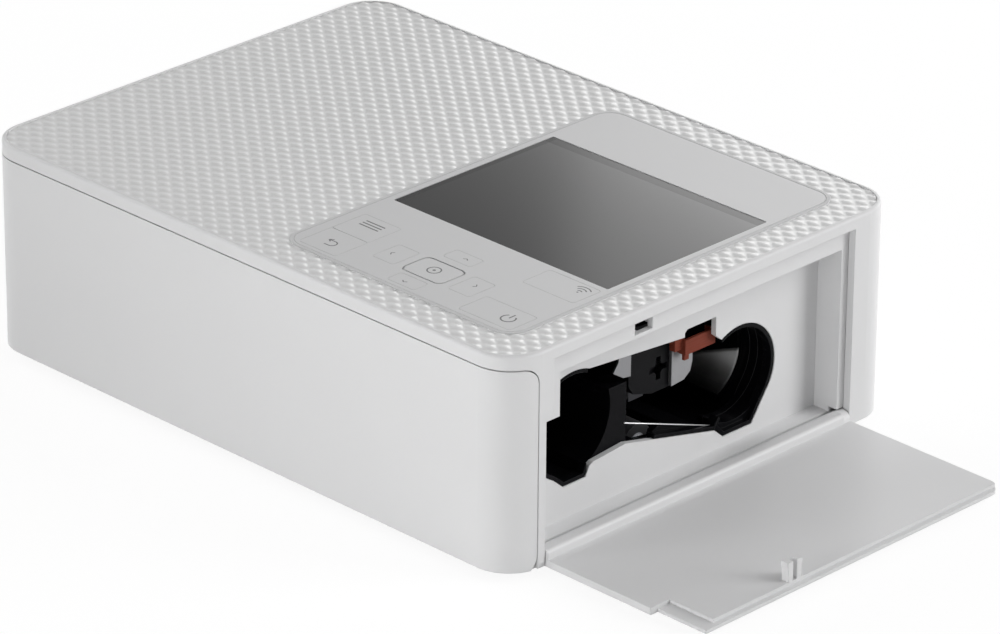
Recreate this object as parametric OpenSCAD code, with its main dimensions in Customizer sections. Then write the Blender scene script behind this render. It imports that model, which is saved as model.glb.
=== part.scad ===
// Compact dye-sublimation photo printer, resting on its feet.
// Millimetres. X runs left to right seen from the front, Y front to back, Z up.
// The origin is the centre of the body's footprint, on the table.
// The ink cover is drawn open, as when a ribbon cassette is changed.

/* [Body] */
// Width of the body
body_w = 182.2; // [178:0.1:196]
// Depth of the body
body_d = 133; // [132:0.5:146]
// Height of the body over the table
body_h = 57.6; // [57:0.1:66]
// Radius of the four upright corners
corner_r = 10.4; // [9:0.1:13]
// Thickness of the outer walls
wall = 2; // [1.6:0.1:2.2]
// Thickness of the top deck
deck = 2.4; // [2.2:0.1:3]
// Rounding along the top edge
edge_r = 0.8; // [0.4:0.1:1.2]
// Thickness of the base plate
base_t = 2; // [1.6:0.1:2.4]
// Height of the rubber feet
foot_h = 1.2; // [1:0.1:2]
// Radius of the rubber feet
foot_r = 5; // [4:0.5:7]

/* [Top texture] */
// Depth of the pocket that holds the embossed texture
texture_depth = 0.45; // [0.3:0.05:0.6]
// Smooth rim left around the texture
texture_rim = 1.1; // [0.9:0.1:2]

/* [Control panel] */
// Width of the control panel
panel_w = 75.1; // [74:0.1:80]
// Depth of the control panel
panel_d = 110.8; // [110:0.1:118]
// Distance from the panel to the right side of the body
panel_inset = 11; // [9:0.5:14]
// Corner radius of the control panel
panel_r = 5; // [4:0.5:7]
// Thickness of the control panel
panel_t = 1.6; // [1.4:0.1:1.8]
// Width of the screen window
window_w = 71.5; // [66:0.5:72]
// Depth of the screen window
window_d = 54.9; // [50:0.5:56]
// Distance from the panel's back edge to the screen window
window_inset = 22; // [20:0.5:24]
// Thickness of the screen window
window_t = 1; // [0.7:0.1:1.1]
// Thickness of the screen module
lcd_t = 3.4; // [2.5:0.1:4]
// Width of the OK key
ok_w = 13.2; // [11:0.1:14]
// Depth of the OK key
ok_d = 9.4; // [8:0.1:10]
// Gap around the OK key
ok_gap = 0.25; // [0.15:0.05:0.4]
// Gap around the flush keys
key_gap = 0.08; // [0.06:0.01:0.2]
// Travel of the keys
key_travel = 0.3; // [0.2:0.05:0.5]

/* [Ink cover] */
// Thickness of the ink cover
door_t = 1.8; // [1.5:0.1:1.9]
// Distance from the ink cover's front end to the front of the body
door_front = 12.2; // [12:0.1:14]
// Distance from the ink cover's back end to the back of the body
door_back = 15.9; // [15:0.1:18]
// Height of the ink cover's hinge axis over the table
door_hinge_z = 3.5; // [3.4:0.1:4.5]
// Radius of the ink cover's hinge barrel
barrel_r = 2.5; // [2.2:0.1:2.8]
// Distance from the top of the closed ink cover to the top of the body
door_drop = 3.6; // [3.4:0.1:5]
// Height of the latch hook
hook_h = 5; // [4:0.5:6]
// Radius of the hinge pins
hinge_pin_r = 1.2; // [1:0.05:1.3]

/* [Front cover] */
// Distance that the front cover wraps back along the sides
cover_wrap = 9.3; // [9:0.1:11]
// Distance from the top of the front cover to the top of the body
cover_drop = 4; // [3.8:0.1:5]
// Height of the case's and the front cover's lower edge over the table
cover_z = 2; // [1.8:0.1:2.4]
// Radius of the front cover's upper side corners
cover_corner_r = 4; // [2:0.5:5]

/* [Ink bay] */
// Depth of the recess behind the ink cover
recess_depth = 9.5; // [8:0.1:10]
// Length of the ribbon cassette bay beyond the width of the paper cassette
bay_room = 8; // [7:0.5:9]
// Radius of the supply spool opening
supply_r = 13.9; // [13:0.1:14.5]
// Radius of the take-up spool opening
takeup_r = 12.7; // [12:0.1:13]
// Wall thickness of the black bay liner
liner_t = 1.5; // [1.2:0.1:1.8]

/* [Paper path] */
// Width of the paper cassette mouth
cassette_w = 112; // [108:1:114]
// Height of the paper cassette mouth
mouth_h = 33; // [26:1:36]
// Radius of the platen roller
platen_r = 5; // [4.6:0.1:5.2]
// Radius of the capstan roller
capstan_r = 3.2; // [2.8:0.1:3.3]
// Radius of the pinch roller
pinch_r = 2.2; // [1.8:0.1:2.3]
// Radius of the pick-up roller
pickup_r = 3.3; // [2.8:0.1:3.4]
// Height of the paper exit slot in the back
exit_h = 4.6; // [4.4:0.1:6]

/* [Gears] */
// Module of the gear teeth
gear_m = 0.5; // [0.48:0.01:0.51]
// Width of one gear
gear_w = 3; // [2:0.5:3.5]
// Backlash, as a share of the tooth pitch
backlash = 0.06; // [0.04:0.01:0.1]

/* [Hidden] */

$fn = 48;
// Overrun of a cut past the face it opens
over = 1;
// Gap between mouldings that close on each other
seam = 0.3;
// Gap between parts that seat face to face
fit = 0.1;
// Radial clearance of a shaft in its bore
running = 0.05;

// Faces of the body
right_x = body_w / 2;
front_y = -body_d / 2;
back_y = body_d / 2;
floor_z = foot_h + base_t;
deck_z = body_h - deck;
inner_x = right_x - wall;
inner_back_y = back_y - wall;

// Ink cover: its window in the side wall and its hinge axis
door_l = body_d - door_front - door_back;
window_y0 = front_y + door_front - seam;
window_y1 = window_y0 + door_l + 2 * seam;
window_top = body_h - door_drop + seam;
door_hinge_x = right_x - door_t;
door_h = body_h - door_drop - door_hinge_z;
// The upper front corner of the ink cover is stepped back over a tab of the frame
tab_z = 39.2;
tab_w = 2.3;
ledge_t = 0.9;
ledge_w = 1.5;
corner_ledge_w = 4;
door_corner_r = 3;
rib_round = 1;
// Latch hook, measured from the free edge and from the front end of the ink cover
hook_w = 2.2;
hook_l = 4.4;
hook_inset = 1.6;
hook_y = window_y0 + 34.2;
prong_gap = 1.4;
latch_spare = 0.8;

// Ink bay frame: flange behind the side wall, tub behind the flange
flange_x1 = inner_x - fit;
flange_x0 = flange_x1 - 2.6;
flange_lap = 1.1;
tub_t = 1;
tub_x1 = right_x - recess_depth;
tub_wall_t = 1.5;
tub_x0 = tub_x1 - tub_wall_t;
tub_floor_z = 5;
tub_floor_t = tub_floor_z - floor_z - 2 * fit;
lip_h = 5.1;
lip_z = window_top - 0.3 - lip_h;
jamb_w = 2.4;
tub_y1 = window_y1 - jamb_w;
tab_lip = 6.5;
tab_drop = 1.6;
lug_h = 6;
lug_l = 2.3;
// Switch that feels the ink cover's hook, let into the roof of the recess
roof_z = lip_z + tub_t;
sensor_x0 = tub_x0 + 0.3;
sensor_x1 = flange_x0 - fit;
sensor_w = 5.6;
sensor_y = hook_y + 2.2;
sensor_h = 2.4;
sensor_foot_l = 3.4;

// Bay outline, in Y and Z: spool centres, and the feet of the opening under them
takeup_y = 21.1;
takeup_z = 22.8;
supply_y = -36;
supply_z = 28.6;
spool_drop = 15.2;
takeup_foot = [5.1, 4.9];
supply_foot = [3, 4.5];
bridge_front = [-18, 17.5];
bridge_back = [13, 10.2];
bridge_step = [-30, 16.5];
bay_top_turn = 23;
bay_top_back = 38.6;
lever_notch = [1.8, 12.6];
lever_notch_z = 40.5;
notch_chamfer = 0.8;
liner_clear = 0.4;
bay_x1 = tub_x0 - 2 * fit;
bay_l = cassette_w + bay_room;
bay_x0 = bay_x1 - bay_l;
// Collar that lines the edge of the opening, and sheets that line the spool troughs
collar_t = 1.1;
collar_l = 1;
sheet_t = 1.4;
sheet_x1 = bay_x1 - 9.4;
hood_l = 6.2;
// Wall between the supply spool and the head, which the ribbon passes over
wall_y = -16.2;
wall_top = 32.6;
wall_end_l = 6;

// Paper path
paper_x = (bay_x0 + bay_x1) / 2 - 1.8;
cassette_x0 = paper_x - cassette_w / 2;
cassette_x1 = paper_x + cassette_w / 2;
guide_t = 1.5;
tunnel_z = 11;
tunnel_y = -22;
roller_l = cassette_w - 4;
platen_y = -4;
platen_z = floor_z + platen_r + 1.3;
capstan_y = -17;
capstan_z = floor_z + capstan_r + 0.6;
pinch_z = capstan_z + capstan_r + pinch_r + 0.3;
exit_z = floor_z + 2.2;
exit_w = cassette_w - 4;

// Shafts
roller_shaft_r = 2;
capstan_shaft_r = 1.5;
pinch_shaft_r = 1;
pickup_l = 36;
head_shaft_r = 1.5;
spindle_shaft_r = 3;
spindle_dog_r = 4.5;
spindle_dog_l = 12;
clutch_r = 9;
clutch_t = 1.5;

// Chassis plates
chassis_t = 1.5;
left_x1 = bay_x0 - 3 * fit;
left_x0 = left_x1 - chassis_t;
chassis_right_x0 = cassette_x1 + guide_t + 0.5;
chassis_right_x1 = chassis_right_x0 + chassis_t;
shaft_end_x = chassis_right_x1 + 0.6;
chassis_top = 45.4;
chassis_front = -47;
chassis_back = 46;
chassis_step = [-34, 12];

// Gear train, in two layers left of the chassis
pressure_angle = 25;
addendum = 0.8;
dedendum = 1.05;
platen_teeth = 22;
capstan_teeth = 12;
idler_teeth = 30;
pickup_teeth = 20;
pinion_teeth = 12;
takeup_teeth = 40;
gear_play = 0.1;
// Where the two motors sit round the gears that they drive
motor_turn = 15;
ribbon_turn = 47;
gear_x1 = left_x0 - 1;
gear_x0 = gear_x1 - gear_w;
second_x1 = gear_x0 - 1;
second_x0 = second_x1 - gear_w;
bracket_x1 = second_x0 - 1;
bracket_t = 1.2;
bracket_x0 = bracket_x1 - bracket_t;

function pitch_r(teeth) = gear_m * teeth / 2;
function mesh_distance(a, b) = pitch_r(a) + pitch_r(b) + gear_play;
// Angle of the line from one centre to another
function bearing(from, to) = atan2(to[1] - from[1], to[0] - from[0]);
// Centre that lies at two given distances from two others, on the left of the line between them
function meet(a, ra, b, rb) =
    let (d = norm(b - a), u = (b - a) / d, along = (ra * ra - rb * rb + d * d) / (2 * d))
    a + along * u + sqrt(ra * ra - along * along) * [-u[1], u[0]];
// Phase of a gear that meshes with one of known phase
function mesh_phase(phase_a, teeth_a, a, teeth_b, b) =
    bearing(a, b) + 180 + 180 / teeth_b - (phase_a - bearing(a, b)) * teeth_a / teeth_b;

platen_c = [platen_y, platen_z];
capstan_c = [capstan_y, capstan_z];
idler_c = meet(capstan_c, mesh_distance(capstan_teeth, idler_teeth),
               platen_c, mesh_distance(platen_teeth, idler_teeth));
pickup_z = floor_z + pickup_r + 2.3;
pickup_reach = mesh_distance(pickup_teeth, idler_teeth);
pickup_c = [idler_c[0] - sqrt(pow(pickup_reach, 2) - pow(idler_c[1] - pickup_z, 2)), pickup_z];
motor_c = idler_c + mesh_distance(pinion_teeth, idler_teeth) * [cos(motor_turn), sin(motor_turn)];
takeup_c = [takeup_y, takeup_z];
supply_c = [supply_y, supply_z];
ribbon_c = takeup_c + mesh_distance(pinion_teeth, takeup_teeth) * [cos(ribbon_turn), sin(ribbon_turn)];
capstan_phase = bearing(capstan_c, idler_c);
idler_phase = mesh_phase(capstan_phase, capstan_teeth, capstan_c, idler_teeth, idler_c);
platen_phase = mesh_phase(idler_phase, idler_teeth, idler_c, platen_teeth, platen_c);
pickup_phase = mesh_phase(idler_phase, idler_teeth, idler_c, pickup_teeth, pickup_c);
motor_phase = mesh_phase(idler_phase, idler_teeth, idler_c, pinion_teeth, motor_c);
ribbon_phase = mesh_phase(0, takeup_teeth, takeup_c, pinion_teeth, ribbon_c);

// Motors and brackets
motor_r = 12;
motor_l = 20;
motor_shaft_r = 1;
motor_boss_r = 3;
ribbon_motor_r = 7.5;
ribbon_motor_l = 18;
standoff_r = 1.8;
standoffs = [[-21.5, 33.5], [3.5, 36.5], [8, 17.5], [36.5, 41]];
bracket_front = -20;
bracket_back = 41;
bracket_low = 10;
bracket_ear = 5;

// Thermal head, hinged behind the take-up spool
head_pivot = [40, 42];
head_x0 = cassette_x0 + 1;
head_x1 = cassette_x1 + 1.5;
head_front = -11;
head_back = 4.5;
head_low = 23.4;
head_top = 40;
head_wall = 2;
peg_place = [10.2, 6];
peg_r = 1.5;
head_cap_t = 2;
head_pockets = 5;
sink_h = 5.6;
head_plate_t = 1;
bar_y = -6.2;
bar_w = 5;
arm_t = 2;
arm_low = 40.3;
arm_top = 44;
arm_x = [head_x0 + 1, head_x1 - arm_t - 2.5];

// Eject lever
lever_x0 = tub_x0 - 3.1;
lever_x1 = tub_x0 - 3 * fit;
lever_y0 = 4;
lever_y1 = 14.4;
lever_z0 = 32.5;
lever_z1 = 36.4;
lever_skin = 0.8;
lever_nose_h = 1.9;
lever_stem_w = 2.6;
lever_stem_top = 44;

// Leaf spring that steadies the ribbon cassette, on the back of the frame
spring_x1 = tub_x0 - seam;
spring_t = 0.6;
spring_y = -16.8;
spring_w = 4.2;
spring_low = 33.4;
spring_top = 46;

// Front cover hinge
cover_edge_y = front_y + cover_wrap;
cover_top = body_h - cover_drop;
cover_hinge_y = front_y + 4.2;
cover_hinge_z = cover_z + 3.8;
cover_lug_x = right_x - 13.1;
cover_lug_t = 2.5;
cover_boss_r = 1.7;
frame_inset = wall + 0.4;
frame_t = 1.5;
frame_back_y = cover_edge_y + 0.1;
ear_x = cover_lug_x + cover_lug_t + seam;
ear_t = 2.2;
ear_foot_l = 1.2;

// Screw posts
post_r = 2;
post_x = right_x - 13.3;
post_y = cover_edge_y + 2.9;
back_post_x = right_x - 7.1;
back_post_y = back_y - 7.5;
post_places = [[-post_x, post_y], [post_x, post_y],
               [-back_post_x, back_post_y], [back_post_x, back_post_y]];
screw_r = 1;
screw_head_r = 1.9;
screw_head_h = 1;
screw_l = 12;
foot_x = right_x - 19;
foot_y = back_y - 17;
spigot_r = 1.5;

// Control panel
panel_x = right_x - panel_inset - panel_w / 2;
panel_front = -panel_d / 2;
panel_z = body_h - panel_t;
panel_ledge = 1.2;
seat_r = 2.5;
window_y = panel_d / 2 - window_inset - window_d / 2;
window_ledge = 1;
window_sink = 0.15;
lcd_gap = 0.5;
tab_t = 0.6;
key_tab = 0.7;
key_t = panel_t + tab_t + fit;
stem_r = 1.5;
stem_l = 1.5;
switch_w = 4.5;
switch_h = 1.2;
board_t = 1.2;
ok_r = 2;
flush_r = 0.8;
ok_y = panel_front + 12.3;
// Each flush key: name, place from the panel's centre line and front edge, width, depth
pad_l = 7;
pad_w = 9;
pad_short = 4.8;
dpad_x = 12.6;
side_key_x = 28.2;
side_key_w = 12.4;
menu_d = 11;
back_d = 10.8;
up_y = ok_y + 9.8;
down_y = ok_y - 8.6;
back_y_c = panel_front + 6.7;
menu_y = back_y_c + (back_d + menu_d) / 2 + 2 * key_gap;
wireless_y = panel_front + 27.4;
power_y = panel_front + 6.4;
small_key_w = 16.6;
small_key_d = 9.4;
power_x = 27.1;
key_places = [
    [0, ok_y], [0, up_y], [0, down_y], [-dpad_x, ok_y], [dpad_x, ok_y],
    [-side_key_x, menu_y], [-side_key_x, back_y_c], [power_x, wireless_y], [power_x, power_y]];
key_sizes = [
    [ok_w, ok_d, ok_r, ok_gap], [pad_w, pad_short, flush_r, key_gap], [pad_w, pad_short, flush_r, key_gap],
    [pad_l, pad_w, flush_r, key_gap], [pad_l, pad_w, flush_r, key_gap],
    [side_key_w, menu_d, flush_r, key_gap], [side_key_w, back_d, flush_r, key_gap],
    [small_key_w, small_key_d, flush_r, key_gap], [small_key_w, small_key_d, flush_r, key_gap]];
key_board_z1 = body_h - key_t - stem_l - key_travel - 0.1 - switch_h;
key_board_z0 = key_board_z1 - board_t;
pillar_r = 1.2;
pillar_places = [[-19, 5], [-24, 27.4], [24, 17], [8, 28.4]];

// Boards and connectors
main_board_w = 36;
main_board_d = 92;
main_board_z = 46.2;
main_board_x = panel_x - panel_w / 2 - main_board_w / 2 - 2;
hanger_r = 2.2;
hanger_inset = 3.5;
pcb_t = 1.6;
chip_w = 14;
chip_t = 1.4;
chip_places = [-24, 4];
socket_w = 24;
socket_d = 6;
socket_y = 26;
capacitor_r = 3.5;
capacitor_h = 9;
capacitor_pitch = 10;
io_board_z = 20.4;
io_w = 28;
io_d = 30;
io_x0 = -inner_x + 0.8;
io_y0 = post_y + post_r + 0.5;
card_slot_w = 24.6;
card_slot_h = 2.4;
reader_w = 28;
reader_l = 27;
reader_h = 4;
usb_w = 9;
usb_h = 3.2;
usb_l = 7.5;
power_board_z = 8;
power_w = 22;
power_d = 40;
power_x0 = -inner_x + 8;
power_y1 = inner_back_y - 1;
jack_w = 9;
jack_h = 11;
jack_l = 14;
jack_r = 3.2;
jack_pin_r = 0.9;
jack_x = power_x0 + 11;
jack_z = power_board_z + pcb_t + 5.6;
vent_count = 14;
vent_pitch = 4;
vent_w = 1.6;
vent_h = 13;
vent_z = 32;

white = "whitesmoke";
panel_grey = [0.8, 0.8, 0.81];
black = [0.06, 0.06, 0.07];
steel = [0.7, 0.71, 0.73];
rubber = [0.16, 0.16, 0.17];
board_green = [0.1, 0.32, 0.2];

// --- helpers ---------------------------------------------------------------

// An outline in Y and Z, drawn out along X
module along_x(x0, x1) {
    translate([x0, 0, 0])
        rotate([90, 0, 90])
            linear_extrude(x1 - x0)
                children();
}

// A round bar along X at a centre in Y and Z
module rod_x(x0, x1, c, r) {
    translate([x0, c[0], c[1]])
        rotate([0, 90, 0])
            cylinder(h = x1 - x0, r = r);
}

// A box between two corners
module block(a, b) {
    translate(a)
        cube(b - a);
}

// A rectangle with rounded corners, centred
module rounded_rect(w, d, r) {
    square([w - 2 * r, d], center = true);
    square([w, d - 2 * r], center = true);
    for (x = [-1, 1], y = [-1, 1])
        translate([x * (w / 2 - r), y * (d / 2 - r)])
            circle(r);
}

// The body's footprint, inset all round
module footprint(inset) {
    rounded_rect(body_w - 2 * inset, body_d - 2 * inset, corner_r - inset);
}

// What a rounded edge takes away, in the corner of its two faces
module round_section(r) {
    steps = 4;
    polygon(concat(
        [for (i = [0 : steps]) [-r + r * sin(i * 90 / steps), -r + r * cos(i * 90 / steps)]],
        [[over, -r], [over, over], [-r, over]]));
}

// Cutter that rounds the top edge of the footprint
module top_edge_cutter(r) {
    for (turn = [0, 180])
        rotate(turn) {
            translate([0, body_d / 2, 0])
                rotate([90, 0, 90])
                    linear_extrude(body_w - 2 * corner_r, center = true)
                        round_section(r);
            translate([body_w / 2, 0, 0])
                rotate([90, 0, 0])
                    linear_extrude(body_d - 2 * corner_r, center = true)
                        round_section(r);
            for (side = [0, 1])
                mirror([side, 0, 0])
                    translate([body_w / 2 - corner_r, body_d / 2 - corner_r, 0])
                        rotate_extrude(angle = 90)
                            translate([corner_r, 0])
                                round_section(r);
        }
}

// --- body --------------------------------------------------------------------

// Side view of the space that the front cover fills, grown by a gap
module cover_side(gap, low) {
    depth = cover_wrap + over + gap;
    y1 = cover_edge_y + gap;
    z1 = cover_top + gap;
    r = cover_corner_r + gap;
    translate([y1 - depth, low])
        square([depth, z1 - r - low]);
    translate([y1 - depth, low])
        square([depth - r, z1 - low]);
    translate([y1 - r, z1 - r])
        circle(r);
}

// Window of the ink cover in the side wall, in Y and Z, stepped in above the tab
module ink_window() {
    difference() {
        translate([window_y0, 0])
            square([window_y1 - window_y0, window_top]);
        translate([window_y0 - over, tab_z])
            square([tab_w + over, window_top]);
    }
}

module stadium(w, h) {
    square([w - h, h], center = true);
    for (side = [-1, 1])
        translate([side * (w - h) / 2, 0])
            circle(h / 2);
}

module upper_case() {
    color(white)
        difference() {
            union() {
                difference() {
                    translate([0, 0, cover_z])
                        linear_extrude(body_h - cover_z)
                            footprint(0);
                    translate([0, 0, cover_z - over])
                        linear_extrude(deck_z - cover_z + over)
                            footprint(wall);
                    translate([0, 0, body_h])
                        top_edge_cutter(edge_r);
                    along_x(-right_x - over, right_x + over)
                        cover_side(seam, cover_z - over);
                    along_x(inner_x - over, right_x + over)
                        ink_window();
                    texture_pocket();
                    side_sockets();
                    back_openings();
                }
                case_posts();
                board_hangers();
                door_lugs();
            }
            panel_seat();
            for (p = post_places)
                translate([p[0], p[1], floor_z - over])
                    cylinder(h = screw_l + over, r = screw_r);
            translate([door_hinge_x, window_y0 - lug_l - over, door_hinge_z])
                rotate([-90, 0, 0])
                    cylinder(h = window_y1 - window_y0 + 2 * (lug_l + over), r = hinge_pin_r + running);
        }
}

// Shallow pocket that the embossed skin lies in, all round the control panel
module texture_pocket() {
    translate([0, 0, body_h - texture_depth])
        linear_extrude(texture_depth + over)
            difference() {
                footprint(texture_rim);
                translate([panel_x, 0])
                    rounded_rect(panel_w + 2 * texture_rim, panel_d + 2 * texture_rim,
                                 panel_r + texture_rim);
            }
}

module panel_seat() {
    translate([panel_x, 0, panel_z - fit])
        linear_extrude(panel_t + fit + over)
            rounded_rect(panel_w + 2 * fit, panel_d + 2 * fit, panel_r + fit);
    translate([panel_x, 0, deck_z - over])
        linear_extrude(deck + over)
            rounded_rect(panel_w - 2 * panel_ledge, panel_d - 2 * panel_ledge, seat_r);
}

module side_sockets() {
    along_x(-right_x - over, -inner_x + over) {
        translate([io_y0 + io_d / 2, io_board_z + pcb_t + reader_h / 2])
            square([card_slot_w, card_slot_h], center = true);
        translate([io_y0 + io_d / 2, io_board_z - usb_h / 2 - fit])
            stadium(usb_w + 0.4, usb_h + 0.4);
    }
}

module back_openings() {
    block([paper_x - exit_w / 2, inner_back_y - over, exit_z],
          [paper_x + exit_w / 2, back_y + over, exit_z + exit_h]);
    for (i = [0 : vent_count - 1])
        translate([(i - (vent_count - 1) / 2) * vent_pitch - right_x / 2, inner_back_y - over, vent_z])
            cube([vent_w, wall + 2 * over, vent_h]);
    translate([jack_x, inner_back_y - over, jack_z])
        rotate([-90, 0, 0])
            cylinder(h = wall + 2 * over, r = jack_r + seam);
}

module case_posts() {
    for (p = post_places)
        translate([p[0], p[1], floor_z + fit])
            cylinder(h = deck_z - floor_z, r = post_r);
}

// Pillars under the deck that carry the main board
module board_hangers() {
    for (x = [-1, 1], y = [-1, 1])
        translate([main_board_x + x * (main_board_w / 2 - hanger_inset),
                   y * (main_board_d / 2 - hanger_inset), main_board_z + pcb_t])
            cylinder(h = deck_z + fit - main_board_z - pcb_t, r = hanger_r);
}

// Lugs beside the window that take the hinge pins of the ink cover
module door_lugs() {
    x0 = door_hinge_x - barrel_r;
    for (y = [window_y0 - lug_l, window_y1])
        block([x0, y, foot_h], [inner_x + fit, y + lug_l, lug_h]);
}

module base_plate() {
    notch_x = door_hinge_x - barrel_r - seam;
    color(white)
        difference() {
            union() {
                translate([0, 0, foot_h])
                    linear_extrude(base_t)
                        difference() {
                            footprint(wall + 2 * fit);
                            translate([-right_x, front_y])
                                square([body_w, cover_wrap]);
                            translate([notch_x, window_y0 - lug_l - seam])
                                square([over + right_x - notch_x, window_y1 - window_y0 + 2 * (lug_l + seam)]);
                        }
                base_pillars();
            }
            for (p = post_places)
                translate([p[0], p[1], foot_h - over]) {
                    cylinder(h = base_t + 2 * over, r = screw_r + 3 * running);
                    cylinder(h = screw_head_h + fit + over, r = screw_head_r + fit);
                }
            for (x = [-foot_x, foot_x], y = [-foot_y, foot_y])
                translate([x, y, foot_h - over])
                    cylinder(h = base_t / 2 + over + 2 * fit, r = spigot_r + fit);
        }
}

// Pillars that carry the socket board and the power board
module base_pillars() {
    inset = 3;
    for (x = [io_x0 + inset, io_x0 + io_w - 2 * inset], y = [io_y0 + inset, io_y0 + io_d - inset])
        translate([x, y, floor_z - fit])
            cylinder(h = io_board_z - floor_z + fit, r = hanger_r);
    for (x = [power_x0 + inset, power_x0 + power_w - inset],
         y = [power_y1 - power_d + inset, power_y1 - inset])
        translate([x, y, floor_z - fit])
            cylinder(h = power_board_z - floor_z + fit, r = hanger_r);
}

module feet() {
    color(rubber)
        for (x = [-foot_x, foot_x], y = [-foot_y, foot_y])
            translate([x, y, 0]) {
                cylinder(h = foot_h, r = foot_r);
                cylinder(h = foot_h + base_t / 2, r = spigot_r);
            }
}

module case_screws() {
    color(steel)
        for (p = post_places)
            translate([p[0], p[1], foot_h])
                difference() {
                    union() {
                        cylinder(h = screw_head_h, r = screw_head_r);
                        cylinder(h = screw_l + base_t - over, r = screw_r - running);
                    }
                    translate([0, 0, -over])
                        for (turn = [0, 90])
                            rotate(turn)
                                translate([-screw_head_r / 2, -0.25, 0])
                                    cube([screw_head_r, 0.5, over + screw_head_h / 2]);
                }
}

// --- front -------------------------------------------------------------------

// Moulding behind the front cover: it carries the cover's hinge and frames the mouth
module front_frame() {
    low = cover_hinge_z - 1;
    // beside the ears the cover's corners swing up to this height
    side_low = cover_hinge_z + cover_edge_y - cover_hinge_y + seam;
    color(white)
        difference() {
            union() {
                intersection() {
                    translate([0, 0, low])
                        linear_extrude(deck_z - seam - low)
                            difference() {
                                footprint(frame_inset);
                                footprint(frame_inset + frame_t);
                            }
                    union() {
                        translate([-ear_x - ear_t, front_y, 0])
                            cube([2 * (ear_x + ear_t), frame_back_y - front_y, body_h]);
                        translate([-right_x, front_y, side_low])
                            cube([body_w, frame_back_y - front_y, body_h]);
                    }
                }
                for (side = [0, 1])
                    mirror([side, 0, 0])
                        along_x(ear_x, ear_x + ear_t)
                            hinge_ear();
                mouth_trim();
            }
            block([cassette_x0, front_y, 0], [cassette_x1, frame_back_y + over, floor_z + mouth_h]);
            for (side = [-1, 1])
                translate([side * (cover_lug_x + cover_lug_t / 2), cover_hinge_y, cover_hinge_z])
                    cube([cover_lug_t + 2 * seam, 4 * cover_boss_r, 5 * cover_boss_r], center = true);
            rod_x(-ear_x - ear_t - over, ear_x + ear_t + over,
                  [cover_hinge_y, cover_hinge_z], hinge_pin_r + running);
        }
}

// Ear with its hinge bore, carried back to a foot on the base plate
module hinge_ear() {
    foot_y0 = cover_edge_y + fit;
    translate([cover_hinge_y, cover_hinge_z])
        circle(cover_boss_r);
    translate([cover_hinge_y, cover_hinge_z - 1])
        square([foot_y0 + ear_foot_l - cover_hinge_y, cover_boss_r + 1]);
    translate([foot_y0, floor_z + fit])
        square([ear_foot_l, cover_hinge_z - floor_z]);
}

// Short collar that leads the paper cassette into the mouth
module mouth_trim() {
    y0 = front_y + frame_inset + fit;
    y1 = y0 + frame_t + 1.4;
    block([cassette_x0 + fit, y0, floor_z + mouth_h - fit],
          [cassette_x1 - fit, y1, floor_z + mouth_h + frame_t]);
}

module front_cover() {
    color(white) {
        intersection() {
            difference() {
                linear_extrude(body_h)
                    footprint(0);
                translate([0, 0, -over])
                    linear_extrude(body_h + 2 * over)
                        footprint(wall);
            }
            along_x(-right_x - over, right_x + over)
                difference() {
                    cover_side(0, cover_z);
                    // The lower back corner is cut to the arc that it swings through
                    difference() {
                        translate([cover_hinge_y, 0])
                            square([cover_wrap, cover_hinge_z]);
                        translate([cover_hinge_y, cover_hinge_z])
                            circle(cover_edge_y - cover_hinge_y);
                    }
                }
        }
        for (side = [0, 1])
            mirror([side, 0, 0]) {
                along_x(cover_lug_x, cover_lug_x + cover_lug_t)
                    cover_lug();
                rod_x(cover_lug_x + fit, ear_x + ear_t, [cover_hinge_y, cover_hinge_z], hinge_pin_r);
            }
    }
}

module cover_lug() {
    translate([cover_hinge_y, cover_hinge_z])
        circle(cover_boss_r);
    translate([front_y + wall - fit, cover_hinge_z - cover_boss_r])
        square([cover_hinge_y - front_y - wall + fit, 2 * cover_boss_r]);
}

// --- ink cover and its frame --------------------------------------------------

// Section of the ink cover with its barrel, closed: X outwards from the axis, Y upwards
module door_section() {
    intersection() {
        union() {
            circle(barrel_r);
            square([door_t, door_h - ledge_w]);
            square([door_t, barrel_r]);
            translate([door_t - ledge_t, 0])
                square([ledge_t, door_h]);
        }
        translate([-barrel_r - over, -barrel_r - over])
            square([barrel_r + over + door_t, door_h + barrel_r + 2 * over]);
    }
}

// Rib on the inside of the barrel, square but for its rounded upper corner
module barrel_rib() {
    translate([-barrel_r, 0])
        difference() {
            square([barrel_r + fit, barrel_r]);
            translate([-over, barrel_r - rib_round])
                difference() {
                    square(rib_round + over);
                    translate([rib_round + over, 0])
                        circle(rib_round);
                }
        }
}

// Outline of the ink cover seen from outside, in Y and Z from its front end and its axis
module door_outline() {
    step = tab_z - door_hinge_z;
    difference() {
        translate([0, -barrel_r - over])
            square([door_l, door_h + barrel_r + over]);
        translate([-over, step - seam])
            square([tab_w + over, door_h]);
        translate([door_l - door_corner_r, door_h - door_corner_r])
            difference() {
                square(door_corner_r + over);
                circle(door_corner_r);
            }
    }
}

module ink_cover_closed() {
    step = tab_z - door_hinge_z;
    intersection() {
        difference() {
            rotate([90, 0, 0])
                translate([0, 0, -door_l])
                    linear_extrude(door_l)
                        door_section();
            // thin corner that laps over the frame's tab
            block([-over, -over, step - seam],
                  [door_t - ledge_t, tab_w + corner_ledge_w, door_h + over]);
        }
        translate([-barrel_r - over, 0, 0])
            rotate([90, 0, 90])
                linear_extrude(barrel_r + door_t + 2 * over)
                    door_outline();
    }
    rotate([90, 0, 0])
        translate([0, 0, -(tub_y1 - window_y0 - 2 * seam)])
            linear_extrude(tub_y1 - window_y0 - 2 * seam)
                barrel_rib();
    latch_hook();
    for (y = [-lug_l + seam, door_l - over])
        translate([0, y, 0])
            rotate([-90, 0, 0])
                cylinder(h = lug_l - seam + over, r = hinge_pin_r);
}

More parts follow.
